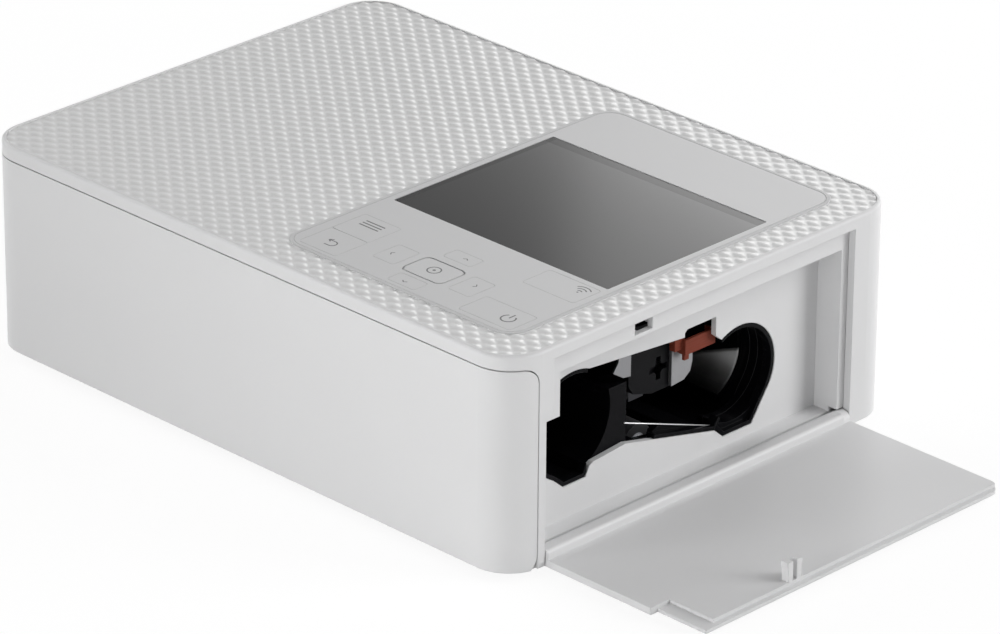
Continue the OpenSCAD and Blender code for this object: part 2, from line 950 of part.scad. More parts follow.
// Two sprung prongs near the free edge
module latch_hook() {
    prong = (hook_l - prong_gap) / 2;
    barb = 0.5;
    y0 = hook_y - window_y0 - seam - hook_l / 2;
    for (y = [y0, y0 + prong + prong_gap])
        block([-hook_h, y, door_h - hook_inset - hook_w],
              [fit, y + prong, door_h - hook_inset]);
    for (y = [y0 - barb / 2, y0 + hook_l - prong])
        block([-hook_h, y, door_h - hook_inset - hook_w],
              [-hook_h + 1.2, y + prong + barb / 2, door_h - hook_inset]);
}

module ink_cover() {
    color(white)
        translate([door_hinge_x, window_y0 + seam, door_hinge_z])
            rotate([0, 90, 0])
                ink_cover_closed();
}

// Opening of the bay in Y and Z, for the ribbon cassette, grown by a clearance
module bay_outline(grow) {
    tf = [takeup_y - takeup_foot[0], takeup_z - spool_drop];
    sf = [supply_y - supply_foot[0], supply_z - spool_drop];
    translate(takeup_c)
        circle(takeup_r + grow);
    translate(supply_c)
        circle(supply_r + grow);
    polygon([
        bridge_back - [grow, grow], tf - [grow / 2, grow],
        [takeup_y + takeup_foot[1] + grow / 2, tf[1] - grow],
        [takeup_y + takeup_r * cos(30) + grow, takeup_z - takeup_r * sin(30)], takeup_c]);
    polygon([
        [supply_y - supply_r * cos(35) - grow, supply_z - supply_r * sin(35)], sf - [grow / 2, grow],
        [supply_y + supply_foot[1] + grow / 2, sf[1] - grow], bridge_step + [grow, -grow], supply_c]);
    polygon([
        bridge_step + [0, -grow], bridge_front - [0, grow], bridge_back - [0, grow], takeup_c,
        [takeup_y, takeup_z + takeup_r / 2], [lever_notch[1] + 2, takeup_z + takeup_r * 0.87 + grow],
        [lever_notch[1] + grow, takeup_z + takeup_r + grow], [lever_notch[1] + grow, lever_notch_z + grow],
        [lever_notch[0] + notch_chamfer - grow, lever_notch_z + grow],
        [lever_notch[0] - grow, lever_notch_z - notch_chamfer + grow],
        [lever_notch[0] - grow, bay_top_back + grow],
        supply_c + (supply_r + grow) * [sin(bay_top_turn), cos(bay_top_turn)], supply_c]);
}

// Mouth of the recess in the flange, in Y and Z
module recess_mouth() {
    difference() {
        translate([window_y0 - over, 0])
            square([tub_y1 - window_y0 + over, lip_z]);
        translate([window_y0 - 2 * over, tab_z - tab_drop])
            square([tab_lip + 2 * over, lip_z]);
    }
}

module ink_frame() {
    y0 = window_y0 - tub_t;
    y1 = tub_y1 + tub_t;
    z0 = tub_floor_z - tub_floor_t;
    hole_l = hook_l + 2 * latch_spare;
    hole_z0 = body_h - door_drop - hook_inset - hook_w - fit - 0.2;
    color(white)
        difference() {
            union() {
                block([tub_x0, y0, z0], [flange_x0 + fit, y1, lip_z + tub_t]);
                block([flange_x0, window_y0 - flange_lap, lug_h + seam],
                      [flange_x1, window_y1 + flange_lap, window_top + 0.6]);
            }
            block([tub_x1, window_y0, tub_floor_z], [flange_x1, tub_y1, lip_z]
                  - [flange_x1 - flange_x0, 0, 0]);
            along_x(flange_x0 - fit, flange_x1 + over)
                recess_mouth();
            along_x(tub_x0 - over, tub_x1 + over)
                bay_outline(0);
            block([flange_x0 - over, hook_y - hole_l / 2, hole_z0],
                  [flange_x1 + over, hook_y + hole_l / 2, hole_z0 + hook_w + latch_spare + 0.1]);
            rod_x(tub_x0 - over, tub_x0 + tub_wall_t / 2, head_pivot, head_shaft_r + running);
            // notch in the roof for the foot of the cover switch
            block([sensor_x1 - sensor_foot_l, sensor_y - sensor_w / 2, lip_z - over],
                  [sensor_x1 + fit + over, sensor_y + sensor_w / 2, roof_z + over]);
        }
}

// Microswitch behind the latch slot: a body on the roof, and a foot that fills the notch
module cover_switch() {
    y0 = sensor_y - sensor_w / 2 + fit;
    y1 = sensor_y + sensor_w / 2 - fit;
    color(black) {
        block([sensor_x0, y0, roof_z + fit],
              [flange_x1 - hook_h - fit, y1, roof_z + sensor_h]);
        block([sensor_x1 - sensor_foot_l + fit, y0, lip_z + fit],
              [sensor_x1, y1, roof_z + 2 * fit]);
    }
}

// --- control panel --------------------------------------------------------------

module control_panel() {
    color(panel_grey)
        difference() {
            union() {
                translate([panel_x, 0, panel_z])
                    linear_extrude(panel_t)
                        rounded_rect(panel_w, panel_d, panel_r);
                key_board_pillars();
            }
            translate([panel_x, window_y, body_h - window_t - window_sink - fit])
                linear_extrude(window_t + over)
                    rounded_rect(window_w, window_d, 0.5);
            translate([panel_x, window_y, panel_z - over])
                linear_extrude(panel_t + over)
                    square([window_w - 2 * window_ledge, window_d - 2 * window_ledge], center = true);
            for (i = [0 : len(key_places) - 1])
                translate([panel_x + key_places[i][0], key_places[i][1], panel_z - over])
                    linear_extrude(panel_t + 2 * over)
                        rounded_rect(key_sizes[i][0] + 2 * key_sizes[i][3],
                                     key_sizes[i][1] + 2 * key_sizes[i][3], key_sizes[i][2] + key_sizes[i][3]);
        }
}

// Pillars under the panel that carry the key board
module key_board_pillars() {
    for (p = pillar_places)
        translate([panel_x + p[0], panel_front + p[1], key_board_z1])
            cylinder(h = panel_z - key_board_z1 + fit, r = pillar_r);
}

module screen_window() {
    color([0.2, 0.2, 0.21, 0.9])
        translate([panel_x, window_y, body_h - window_t - window_sink])
            linear_extrude(window_t)
                rounded_rect(window_w - 2 * fit, window_d - 2 * fit, 0.4);
}

module lcd_module() {
    w = panel_w - 2 * panel_ledge - 2 * lcd_gap;
    d = window_d + 2.4;
    color([0.12, 0.12, 0.13])
        difference() {
            translate([panel_x, window_y, panel_z - fit - lcd_t])
                linear_extrude(lcd_t)
                    rounded_rect(w, d, 1);
            translate([panel_x, window_y, panel_z - fit - 0.4])
                linear_extrude(over)
                    square([window_w - 5, window_d - 4], center = true);
        }
}

// Board under the keys with one dome switch for each
module key_board() {
    w = panel_w - 2 * panel_ledge - 2 * lcd_gap;
    d = window_y - window_d / 2 - 2 - panel_front - panel_ledge - 3 * lcd_gap;
    color(board_green)
        translate([0, 0, key_board_z0])
            linear_extrude(board_t)
                difference() {
                    translate([panel_x - w / 2, panel_front + panel_ledge + lcd_gap])
                        square([w, d]);
                    translate([post_x, post_y])
                        circle(post_r + seam);
                }
    color(steel)
        for (p = key_places)
            translate([panel_x + p[0], p[1], key_board_z1 - fit / 2 + switch_h / 2])
                cube([switch_w, min(switch_w, pad_short - 0.8), switch_h + fit], center = true);
}

// One key: a cap in its hole, two tabs that stop it under the panel, a stem over the switch
module key(i) {
    w = key_sizes[i][0];
    d = key_sizes[i][1];
    r = key_sizes[i][2];
    bevel = i == 0 ? 0.25 : 0;
    color(panel_grey)
        translate([panel_x + key_places[i][0], key_places[i][1], body_h - key_t]) {
            linear_extrude(key_t - 0.25)
                rounded_rect(w, d, r);
            linear_extrude(key_t)
                rounded_rect(w - 2 * bevel, d - 2 * bevel, r - bevel);
            translate([-w / 2 - key_tab, -d / 4, 0])
                cube([w + 2 * key_tab, d / 2, tab_t]);
            translate([0, 0, -stem_l])
                cylinder(h = stem_l + fit, r = stem_r);
        }
}

module ok_key() { key(0); }
module up_key() { key(1); }
module down_key() { key(2); }
module left_key() { key(3); }
module right_key() { key(4); }
module menu_key() { key(5); }
module back_key() { key(6); }
module wireless_key() { key(7); }
module power_key() { key(8); }

// --- ink bay ------------------------------------------------------------------

// Trough of a spool: a ring with its mouth cut away
module trough(c, r) {
    translate(c)
        difference() {
            circle(r + liner_clear + liner_t);
            circle(r + liner_clear);
        }
}

// Section of the liner in Y and Z: two troughs and the bridge between them
module liner_section() {
    difference() {
        union() {
            trough(takeup_c, takeup_r);
            trough(supply_c, supply_r);
            intersection() {
                difference() {
                    bay_outline(liner_clear + liner_t);
                    bay_outline(liner_clear);
                }
                translate([supply_y - supply_r, 0])
                    square([takeup_y - supply_y + 2 * takeup_r, supply_z - supply_r / 2]);
            }
        }
        bay_outline(liner_clear);
        // open towards each other and at the top
        translate([supply_y, supply_z - supply_r / 2])
            square([takeup_y - supply_y, body_h]);
        translate([takeup_y - over, takeup_z + takeup_r / 3])
            square([takeup_r / 4 + over, body_h]);
        // slot for the platen, the capstan and the pinch roller
        translate([capstan_y - capstan_r, 0])
            square([platen_y + platen_r + 1 - capstan_y + capstan_r, platen_z + platen_r + 1.2]);
    }
}

// Lining sheet of a spool trough, set in from the mouth
module spool_sheet(c, r, turn) {
    outer = r + liner_clear + fit;
    inner = r + liner_clear - sheet_t;
    translate(c)
        intersection() {
            difference() {
                circle(outer);
                circle(inner);
            }
            polygon([[0, 0], 2 * outer * [cos(turn[0]), sin(turn[0])],
                     4 * outer * [cos((turn[0] + turn[1]) / 2), sin((turn[0] + turn[1]) / 2)],
                     2 * outer * [cos(turn[1]), sin(turn[1])]]);
        }
}

// Where the collar runs: round both spools, but not under the head nor over it
module collar_reach() {
    translate([supply_y - 2 * supply_r, 0])
        square([2 * supply_r + 5, body_h]);
    translate([-8, 0])
        square([body_d, 20]);
    translate([lever_notch[1] + 2.5, 0])
        square([body_d, body_h]);
}

module collar_rim(outer) {
    intersection() {
        difference() {
            bay_outline(outer);
            bay_outline(-collar_t);
        }
        collar_reach();
    }
}

// Roof over the take-up spool at the mouth of the bay
module takeup_hood() {
    difference() {
        trough(takeup_c, takeup_r);
        translate([takeup_y - 2 * takeup_r, 0])
            square([2 * takeup_r + lever_notch[1] + 2.5 - takeup_y, body_h]);
    }
}

// Wall beside the supply spool: an arc all along, filled out to a block at the mouth
module ribbon_wall(filled) {
    difference() {
        intersection() {
            translate([supply_y, bridge_front[1] - 1.4])
                square([wall_y - supply_y, wall_top + 1.4 - bridge_front[1]]);
            if (filled)
                square(body_d * 2, center = true);
            else
                translate(supply_c)
                    circle(supply_r + liner_clear + liner_t);
        }
        translate(supply_c)
            circle(supply_r + liner_clear);
    }
}

// Low fin across the mouth of the bridge, which keeps the ribbon off the rollers' ends
module ribbon_fin() {
    polygon([[bridge_back[0] + 2.5, bridge_back[1] - 0.8], [platen_y, bridge_front[1] - 0.5],
             [platen_y - 2.5, bridge_front[1] - 1.5], [platen_y - 2.5, bridge_front[1] - 3.5],
             [bridge_back[0], bridge_back[1] - 0.8]]);
}

module bay_liner() {
    color(black) {
        along_x(bay_x1 - 2.2, bay_x1 - 0.6)
            ribbon_fin();
        along_x(bay_x0, bay_x1)
            liner_section();
        along_x(bay_x1 - collar_l, bay_x1)
            collar_rim(liner_clear + liner_t);
        along_x(bay_x1 - collar_l, tub_x1 - 2 * fit)
            collar_rim(-fit);
        along_x(bay_x0 + fit, sheet_x1) {
            spool_sheet(takeup_c, takeup_r, [-68, 20]);
            spool_sheet(supply_c, supply_r, [180, 275]);
        }
        along_x(bay_x1 - hood_l, bay_x1)
            takeup_hood();
        along_x(bay_x0, bay_x1)
            ribbon_wall(false);
        along_x(bay_x1 - wall_end_l, bay_x1)
            ribbon_wall(true);
        // closed left end, with holes for the two drive spindles
        difference() {
            along_x(bay_x0, bay_x0 + liner_t)
                difference() {
                    bay_outline(liner_clear + fit);
                    translate([capstan_y - capstan_r, 0])
                        square([platen_y + platen_r + 1 - capstan_y + capstan_r, platen_z + platen_r + 1.2]);
                }
            for (c = [takeup_c, supply_c])
                rod_x(bay_x0 - over, bay_x0 + liner_t + over, c, spindle_dog_r + 0.6);
        }
        bridge_ribs();
    }
}

// Raised guide ribs along both sides of the roller slot
module bridge_ribs() {
    slope = atan2(bridge_back[1] - bridge_front[1], bridge_back[0] - bridge_front[0]);
    y = platen_y + platen_r + 1.8;
    z = bridge_front[1] + (y - bridge_front[0]) * tan(slope) - liner_clear;
    along_x(bay_x0, bay_x1)
        translate([y, z - 0.6])
            rotate(slope)
                square([1.6, 1.4]);
}

module eject_lever() {
    color([0.72, 0.3, 0.18]) {
        // finger pad, hollow behind its face
        difference() {
            block([lever_x0, lever_y0, lever_z0], [lever_x1, lever_y1, lever_z1]);
            block([lever_x0 - over, lever_y0 + lever_skin, lever_z0 + lever_skin],
                  [lever_x1 - lever_skin, lever_y1 - lever_skin, lever_z1 + over]);
        }
        // stem that slides behind the frame, set back
        block([lever_x0, lever_y0 - lever_stem_w, lever_z0 + 1.4],
              [lever_x1 - 1, lever_y0 + fit, lever_stem_top]);
        // nose that pushes the cassette out
        block([lever_x0 + 1, lever_y0 + lever_skin, lever_z0 - lever_nose_h],
              [lever_x1 - 1, lever_y0 + 3 * lever_skin, lever_z0 + fit]);
    }
}

// --- thermal head -------------------------------------------------------------------

// Section of the channel that holds the heat sink
module head_channel() {
    difference() {
        translate([head_front, head_low])
            square([head_back - head_front, head_top - head_low]);
        translate([head_front + head_wall, head_low - over])
            square([head_back - head_front - 2 * head_wall, sink_h + 0.4 + over]);
    }
}

// Outline of the end cap, chamfered where it clears the ribbon, with a keyed hole for the cassette's peg
module head_cap() {
    difference() {
        polygon([[head_front, head_top], [head_front, head_low + 4.4], [head_front + 1.6, head_low + 2],
                 [head_front + 8, head_low], [head_back, head_low], [head_back, head_top]]);
        translate([head_front + peg_place[0], head_low + peg_place[1]]) {
            circle(peg_r);
            square([4 * peg_r, peg_r], center = true);
            square([peg_r, 4 * peg_r], center = true);
        }
    }
}

module head_carrier() {
    pocket_pitch = (head_x1 - head_x0 - 17.5) / head_pockets;
    color(black)
        difference() {
            union() {
                along_x(head_x0, head_x1 - head_cap_t + fit)
                    head_channel();
                along_x(head_x1 - head_cap_t, head_x1)
                    head_cap();
                for (x = arm_x)
                    along_x(x, x + arm_t)
                        head_arm();
            }
            rod_x(head_x0 - over, head_x1 + over, head_pivot, head_shaft_r + running);
            // weight-saving pockets in the top
            for (i = [0 : head_pockets - 1])
                translate([head_x0 + 12 + i * pocket_pitch, head_front + head_wall, head_top - 4])
                    cube([pocket_pitch - 4, head_back - head_front - 2 * head_wall, 4 + over]);
        }
}

module head_arm() {
    translate(head_pivot)
        circle(head_shaft_r + 2);
    translate([head_front, arm_low])
        square([head_pivot[0] - head_front, arm_top - arm_low]);
    translate([head_front, head_top - 2])
        square([head_back - head_front, arm_low - head_top + 2.5]);
}

// Heat sink with its ceramic print line
module print_head() {
    x1 = head_x1 - head_cap_t - fit;
    color(steel) {
        along_x(head_x0 + 1, x1) {
            translate([head_front + head_wall + 0.2, head_low + 0.2])
                square([head_back - head_front - 2 * head_wall - 0.4, sink_h]);
            translate([bar_y - bar_w / 2, head_low - 1])
                square([bar_w, 1.3]);
        }
    }
}

// Bright plate on the end of the head, which presses the cassette's latch
module head_plate() {
    y0 = head_back - 1.8;
    color(steel)
        along_x(head_x1 + fit, head_x1 + fit + head_plate_t)
            polygon([[y0, head_low + 0.4], [y0 + 4.4, head_low + 0.8], [y0 + 6.5, head_low + 2.4],
                     [y0 + 7.2, head_low + 4.8], [y0 + 7.2, head_low + 9.6], [y0, head_low + 10.6]]);
}

// Leaf spring behind the frame that steadies the ribbon cassette
module cassette_spring() {
    y0 = spring_y - spring_w / 2;
    y1 = spring_y + spring_w / 2;
    color(steel)
        along_x(spring_x1 - spring_t, spring_x1)
            polygon([[y0, spring_top], [y1, spring_top], [y1, spring_low], [y1 - 2.6, spring_low + 0.4],
                     [y0 - 1.8, spring_low + 2.6], [y0, spring_low + 5]]);
}

module head_shaft() {
    color(steel)
        rod_x(left_x0 - 1.5, tub_x0 + tub_wall_t / 2 - fit, head_pivot, head_shaft_r);
}

// --- rollers and gears ------------------------------------------------------------

// Tooth flank: half of the tooth's angle at a radius
function roll(base_r, r) = let (a = acos(min(1, base_r / r))) tan(a) * 180 / PI - a;
function half_angle(teeth, r) =
    let (pr = pitch_r(teeth), base_r = pr * cos(pressure_angle))
    90 / teeth * (1 - 2 * backlash) + roll(base_r, pr) - roll(base_r, max(r, base_r));

module gear_outline(teeth, phase) {
    pr = pitch_r(teeth);
    tip = pr + addendum * gear_m;
    root = pr - dedendum * gear_m;
    base_r = max(root + 0.02, pr * cos(pressure_angle));
    radii = [root, base_r, (base_r + tip) / 2, tip];
    polygon([
        for (t = [0 : teeth - 1], side = [-1, 1], k = [0 : 3])
            let (r = radii[side < 0 ? k : 3 - k],
                 a = phase + t * 360 / teeth + side * half_angle(teeth, r))
            [r * cos(a), r * sin(a)]]);
}

module gear(x0, x1, c, teeth, phase) {
    translate([0, c[0], c[1]])
        along_x(x0, x1)
            gear_outline(teeth, phase);
}

module platen_roller() {
    x0 = paper_x - roller_l / 2;
    color(rubber)
        rod_x(x0, x0 + roller_l, platen_c, platen_r);
    color(steel)
        rod_x(gear_x0, shaft_end_x, platen_c, roller_shaft_r);
    color("white")
        gear(gear_x0, gear_x1, platen_c, platen_teeth, platen_phase);
}

module capstan_roller() {
    x0 = paper_x - roller_l / 2;
    color(steel) {
        rod_x(x0, x0 + roller_l, capstan_c, capstan_r);
        rod_x(gear_x0, shaft_end_x, capstan_c, capstan_shaft_r);
    }
    color("white")
        gear(gear_x0, gear_x1, capstan_c, capstan_teeth, capstan_phase);
}

module pinch_roller() {
    x0 = paper_x - roller_l / 2;
    color(steel) {
        rod_x(x0, x0 + roller_l, [capstan_y, pinch_z], pinch_r);
        rod_x(left_x0, shaft_end_x, [capstan_y, pinch_z], pinch_shaft_r);
    }
}

module pickup_roller() {
    color(rubber)
        rod_x(paper_x - pickup_l / 2, paper_x + pickup_l / 2, pickup_c, pickup_r);
    color(steel)
        rod_x(second_x0, shaft_end_x, pickup_c, capstan_shaft_r);
    color("white")
        gear(second_x0, second_x1, pickup_c, pickup_teeth, pickup_phase);
}

module idler_gear() {
    color("white")
        difference() {
            gear(second_x0, gear_x1, idler_c, idler_teeth, idler_phase);
            rod_x(second_x0 - over, gear_x1 + over, idler_c, capstan_shaft_r + running);
        }
}

module motor_can(x1, c, r, l) {
    difference() {
        union() {
            rod_x(x1 - l, x1, c, r);
            rod_x(x1 - over, bracket_x1, c, motor_boss_r);
            rod_x(x1 - l - 1.5, x1 - l + over, c, motor_boss_r);
        }
        rod_x(x1 - l / 2, bracket_x1 + over, c, motor_shaft_r + running);
    }
}

module motor_drive(c, l, phase) {
    color(steel)
        rod_x(bracket_x0 - l / 2 + fit, gear_x1, c, motor_shaft_r);
    color("gold")
        gear(gear_x0, gear_x1, c, pinion_teeth, phase);
}

module feed_motor() {
    color(steel)
        motor_can(bracket_x0 - fit, motor_c, motor_r, motor_l);
}

module motor_pinion() { motor_drive(motor_c, motor_l, motor_phase); }

module ribbon_motor() {
    color(steel)
        motor_can(bracket_x0 - fit, ribbon_c, ribbon_motor_r, ribbon_motor_l);
}

module ribbon_pinion() { motor_drive(ribbon_c, ribbon_motor_l, ribbon_phase); }

// Drive dog that enters the end of a ribbon spool: three wings on a hub
module spindle_dog(c) {
    x0 = bay_x0 + fit;
    rod_x(left_x1 + fit, x0 + spindle_dog_l, c, spindle_dog_r - 1.2);
    for (turn = [0, 120, 240])
        translate([x0, c[0], c[1]])
            rotate([turn, 0, 0])
                translate([0, -0.5, 0])
                    cube([spindle_dog_l - 1, 1, spindle_dog_r]);
}

module takeup_spindle() {
    color("white") {
        spindle_dog(takeup_c);
        rod_x(gear_x0, left_x1 + 2 * fit, takeup_c, spindle_shaft_r);
        gear(gear_x0, gear_x1, takeup_c, takeup_teeth, 0);
    }
}

module supply_spindle() {
    color("white") {
        spindle_dog(supply_c);
        rod_x(gear_x0, left_x1 + 2 * fit, supply_c, spindle_shaft_r);
        rod_x(gear_x1 - clutch_t, gear_x1, supply_c, clutch_r);
    }
}

module chassis_left() {
    color(steel)
        difference() {
            union() {
                along_x(left_x0, left_x1)
                    polygon([[chassis_front, chassis_step[1]], chassis_step, [chassis_step[0], floor_z + fit],
                             [chassis_back, floor_z + fit], [chassis_back, chassis_top],
                             [chassis_front, chassis_top]]);
                // stud of the idler gear
                rod_x(second_x0 - 0.6, left_x0 + fit, idler_c, capstan_shaft_r);
            }
            rod_x(left_x0 - over, left_x1 + over, platen_c, roller_shaft_r + running);
            rod_x(left_x0 - over, left_x1 + over, capstan_c, capstan_shaft_r + running);
            rod_x(left_x0 - over, left_x1 + over, pickup_c, capstan_shaft_r + running);
            rod_x(left_x0 - over, left_x1 + over, [capstan_y, pinch_z], pinch_shaft_r + running);
            rod_x(left_x0 - over, left_x1 + over, head_pivot, head_shaft_r + running);
            for (c = [takeup_c, supply_c])
                rod_x(left_x0 - over, left_x1 + over, c, spindle_shaft_r + running);
        }
}

module chassis_right() {
    color(steel)
        difference() {
            along_x(chassis_right_x0, chassis_right_x1)
                polygon([[pickup_c[0] - 4, floor_z + fit], [platen_y + 5.5, floor_z + fit],
                         [platen_y + 5.5, platen_z + 2], [platen_y + 3, platen_z + 3.6],
                         [capstan_y + 4, pinch_z + 2.2], [capstan_y - 4, pinch_z + 2.2],
                         [pickup_c[0] - 4, pickup_z + 4]]);
            rod_x(chassis_right_x0 - over, chassis_right_x1 + over, platen_c, roller_shaft_r + running);
            rod_x(chassis_right_x0 - over, chassis_right_x1 + over, capstan_c, capstan_shaft_r + running);
            rod_x(chassis_right_x0 - over, chassis_right_x1 + over, pickup_c, capstan_shaft_r + running);
            rod_x(chassis_right_x0 - over, chassis_right_x1 + over, [capstan_y, pinch_z], pinch_shaft_r + running);
        }
}

// Plate that holds both motors, on four standoffs from the chassis
module motor_bracket() {
    color(steel)
        difference() {
            union() {
                along_x(bracket_x0, bracket_x1)
                    polygon([[bracket_front, bracket_low], [8, bracket_low], [bracket_back, 28],
                             [bracket_back, chassis_top], [bracket_front - bracket_ear, chassis_top - 5],
                             [bracket_front - bracket_ear, 29], [bracket_front, 24]]);
                for (c = standoffs)
                    rod_x(bracket_x1 - fit, left_x0 - fit / 2, c, standoff_r);
            }
            for (c = [motor_c, ribbon_c])
                rod_x(bracket_x0 - over, bracket_x1 + over, c, motor_boss_r + fit);
        }
}

// --- paper path --------------------------------------------------------------------

// Black surround of the paper cassette: side walls, roof and back wall over the tunnel
module cassette_bay() {
    y0 = front_y + frame_inset + frame_t + 2 * fit;
    y1 = supply_y - supply_r - liner_clear - liner_t - 3 * fit;
    z0 = floor_z + fit;
    z1 = floor_z + mouth_h;
    color(black) {
        for (x = [cassette_x0 - guide_t, cassette_x1]) {
            block([x, y0, cover_hinge_z - 1], [x + guide_t, y1, z1 + guide_t]);
            block([x, cover_edge_y + fit, z0], [x + guide_t, y1, z1]);
            block([x, y1 - fit, z0], [x + guide_t, tunnel_y - 7, tunnel_z - 0.4]);
        }
        block([cassette_x0 - fit, y0 + 1.6, z1], [cassette_x1 + fit, y1, z1 + guide_t]);
        block([cassette_x0 - fit, y1 - guide_t, tunnel_z], [cassette_x1 + fit, y1, z1 + fit]);
    }
}

// Ribbed guide that leads the paper from the platen to the slot in the back
module paper_guide() {
    y0 = platen_y + platen_r + 7;
    z0 = floor_z + fit;
    rib_count = 10;
    rib_pitch = (exit_w - 9) / (rib_count - 1);
    color(black) {
        block([paper_x - exit_w / 2 + 2, y0, z0], [paper_x + exit_w / 2 - 2, inner_back_y - seam, z0 + 1]);
        for (i = [0 : rib_count - 1])
            translate([paper_x + (i - (rib_count - 1) / 2) * rib_pitch - 0.5, y0 + 2, z0 + 0.9])
                cube([1, inner_back_y - seam - y0 - 3, 0.9]);
    }
}

// --- boards and connectors ------------------------------------------------------------

module main_board() {
    socket_h = min(4, deck_z - seam - main_board_z - pcb_t);
    color(board_green)
        translate([main_board_x - main_board_w / 2, -main_board_d / 2, main_board_z])
            cube([main_board_w, main_board_d, pcb_t]);
    color(black) {
        for (y = chip_places)
            translate([main_board_x - chip_w / 2, y, main_board_z + pcb_t - fit])
                cube([chip_w, chip_w, chip_t]);
        translate([main_board_x - socket_w / 2, socket_y, main_board_z + pcb_t - fit])
            cube([socket_w, socket_d, socket_h]);
    }
}

module io_board() {
    color(board_green)
        translate([io_x0, io_y0, io_board_z])
            cube([io_w, io_d, pcb_t]);
}

module card_reader() {
    color(steel)
        difference() {
            translate([io_x0, io_y0 + (io_d - reader_w) / 2, io_board_z + pcb_t])
                cube([reader_l, reader_w, reader_h]);
            translate([io_x0 - over, io_y0 + (io_d - card_slot_w) / 2,
                       io_board_z + pcb_t + (reader_h - card_slot_h) / 2])
                cube([reader_l - 2 + over, card_slot_w, card_slot_h]);
        }
}

module usb_port() {
    c = [io_y0 + io_d / 2, io_board_z - usb_h / 2 - fit];
    color(steel)
        difference() {
            translate([0, c[0], c[1]])
                along_x(-right_x + 0.4, -right_x + 0.4 + usb_l)
                    stadium(usb_w, usb_h);
            translate([0, c[0], c[1]])
                along_x(-right_x - over, -right_x + usb_l - 1)
                    difference() {
                        stadium(usb_w - 0.6, usb_h - 0.6);
                        square([usb_w - 2.4, 0.7], center = true);
                    }
        }
}

module power_board() {
    color(board_green)
        translate([power_x0, power_y1 - power_d, power_board_z])
            cube([power_w, power_d, pcb_t]);
    color(black)
        for (i = [0, 1])
            translate([power_x0 + 6, power_y1 - power_d + 8 + capacitor_pitch * i,
                       power_board_z + pcb_t - fit])
                cylinder(h = capacitor_h, r = capacitor_r);
}

module dc_jack() {
    color(black) {
        difference() {
            union() {
                translate([jack_x - jack_w / 2, inner_back_y - seam - jack_l, power_board_z + pcb_t])
                    cube([jack_w, jack_l, jack_h]);
                translate([jack_x, inner_back_y - over, jack_z])
                    rotate([-90, 0, 0])
                        cylinder(h = wall + over - 0.3, r = jack_r);
            }
            translate([jack_x, inner_back_y - jack_l + 3, jack_z])
                rotate([-90, 0, 0])
                    cylinder(h = jack_l + 2 * over, r = jack_r - 0.6);
        }
        translate([jack_x, inner_back_y - jack_l + 2, jack_z])
            rotate([-90, 0, 0])
                cylinder(h = jack_l - 3, r = jack_pin_r);
    }
}

upper_case();
base_plate();
front_frame();
front_cover();
ink_cover();
ink_frame();
control_panel();
screen_window();
lcd_module();
key_board();
ok_key();
up_key();
down_key();
left_key();
right_key();
menu_key();
back_key();
wireless_key();
power_key();
bay_liner();
cassette_spring();
cover_switch();
eject_lever();
head_carrier();
print_head();
head_plate();
head_shaft();
platen_roller();
capstan_roller();
pinch_roller();
pickup_roller();
idler_gear();
feed_motor();
motor_pinion();
takeup_spindle();
supply_spindle();
ribbon_motor();
ribbon_pinion();
chassis_left();
chassis_right();
motor_bracket();
cassette_bay();
paper_guide();
main_board();
power_board();
io_board();
card_reader();
usb_port();
dc_jack();
feet();
case_screws();
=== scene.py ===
import math

import bmesh
import bpy
from mathutils import Matrix, Vector


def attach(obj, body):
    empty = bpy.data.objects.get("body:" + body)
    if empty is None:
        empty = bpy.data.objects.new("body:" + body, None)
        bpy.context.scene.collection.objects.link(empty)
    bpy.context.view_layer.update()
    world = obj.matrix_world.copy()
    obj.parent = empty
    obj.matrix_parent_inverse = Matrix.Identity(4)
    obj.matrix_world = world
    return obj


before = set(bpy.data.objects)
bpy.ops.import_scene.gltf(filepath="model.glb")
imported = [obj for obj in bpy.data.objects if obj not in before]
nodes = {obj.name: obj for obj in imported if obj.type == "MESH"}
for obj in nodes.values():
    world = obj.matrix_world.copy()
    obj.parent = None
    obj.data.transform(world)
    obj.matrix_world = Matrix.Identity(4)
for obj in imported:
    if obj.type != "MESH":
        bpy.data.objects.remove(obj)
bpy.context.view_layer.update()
bpy.ops.object.select_all(action="DESELECT")

# ---------------------------------------------------------------------------
# The camera looks down on the front right corner of the printer through a
# long lens, from about one and a half metres away.
camera_data = bpy.data.cameras.new("camera")
camera = bpy.data.objects.new("camera", camera_data)
bpy.context.collection.objects.link(camera)
camera_data.sensor_width = 36.0
camera_data.lens = 216.53
camera_data.clip_start = 0.05
camera_data.clip_end = 20.0
camera_place = (0.952515, -0.942510, 0.647085)
yaw, pitch, roll = 2.349827, -0.439414, 0.0082456
ahead = Vector((math.cos(pitch) * math.cos(yaw), math.cos(pitch) * math.sin(yaw), math.sin(pitch)))
right = ahead.cross(Vector((0, 0, 1))).normalized()
up = right.cross(ahead)
right, up = (right * math.cos(roll) + up * math.sin(roll),
             up * math.cos(roll) - right * math.sin(roll))
turn = Matrix((right, up, -ahead)).transposed()
camera.matrix_world = Matrix.Translation(camera_place) @ turn.to_4x4()
bpy.context.scene.camera = camera

# ---------------------------------------------------------------------------
# A white table that runs out of sight under a white studio. Both show as
# plain white and light the printer softly from all round.
table_size = 6.0
under_feet = 0.0002
bpy.ops.mesh.primitive_plane_add(size=table_size, location=(0, 0, -under_feet))
table = bpy.context.object
table.name = "table"


def reckoned(tree, operation, *given, vector=False):
    """The result of one Math or Vector Math node, from sockets or plain values."""
    node = tree.nodes.new("ShaderNodeVectorMath" if vector else "ShaderNodeMath")
    node.operation = operation
    for socket, value in zip(node.inputs, given):
        if isinstance(value, bpy.types.NodeSocket):
            tree.links.new(value, socket)
        else:
            socket.default_value = value
    return next(result for result in node.outputs if result.enabled)


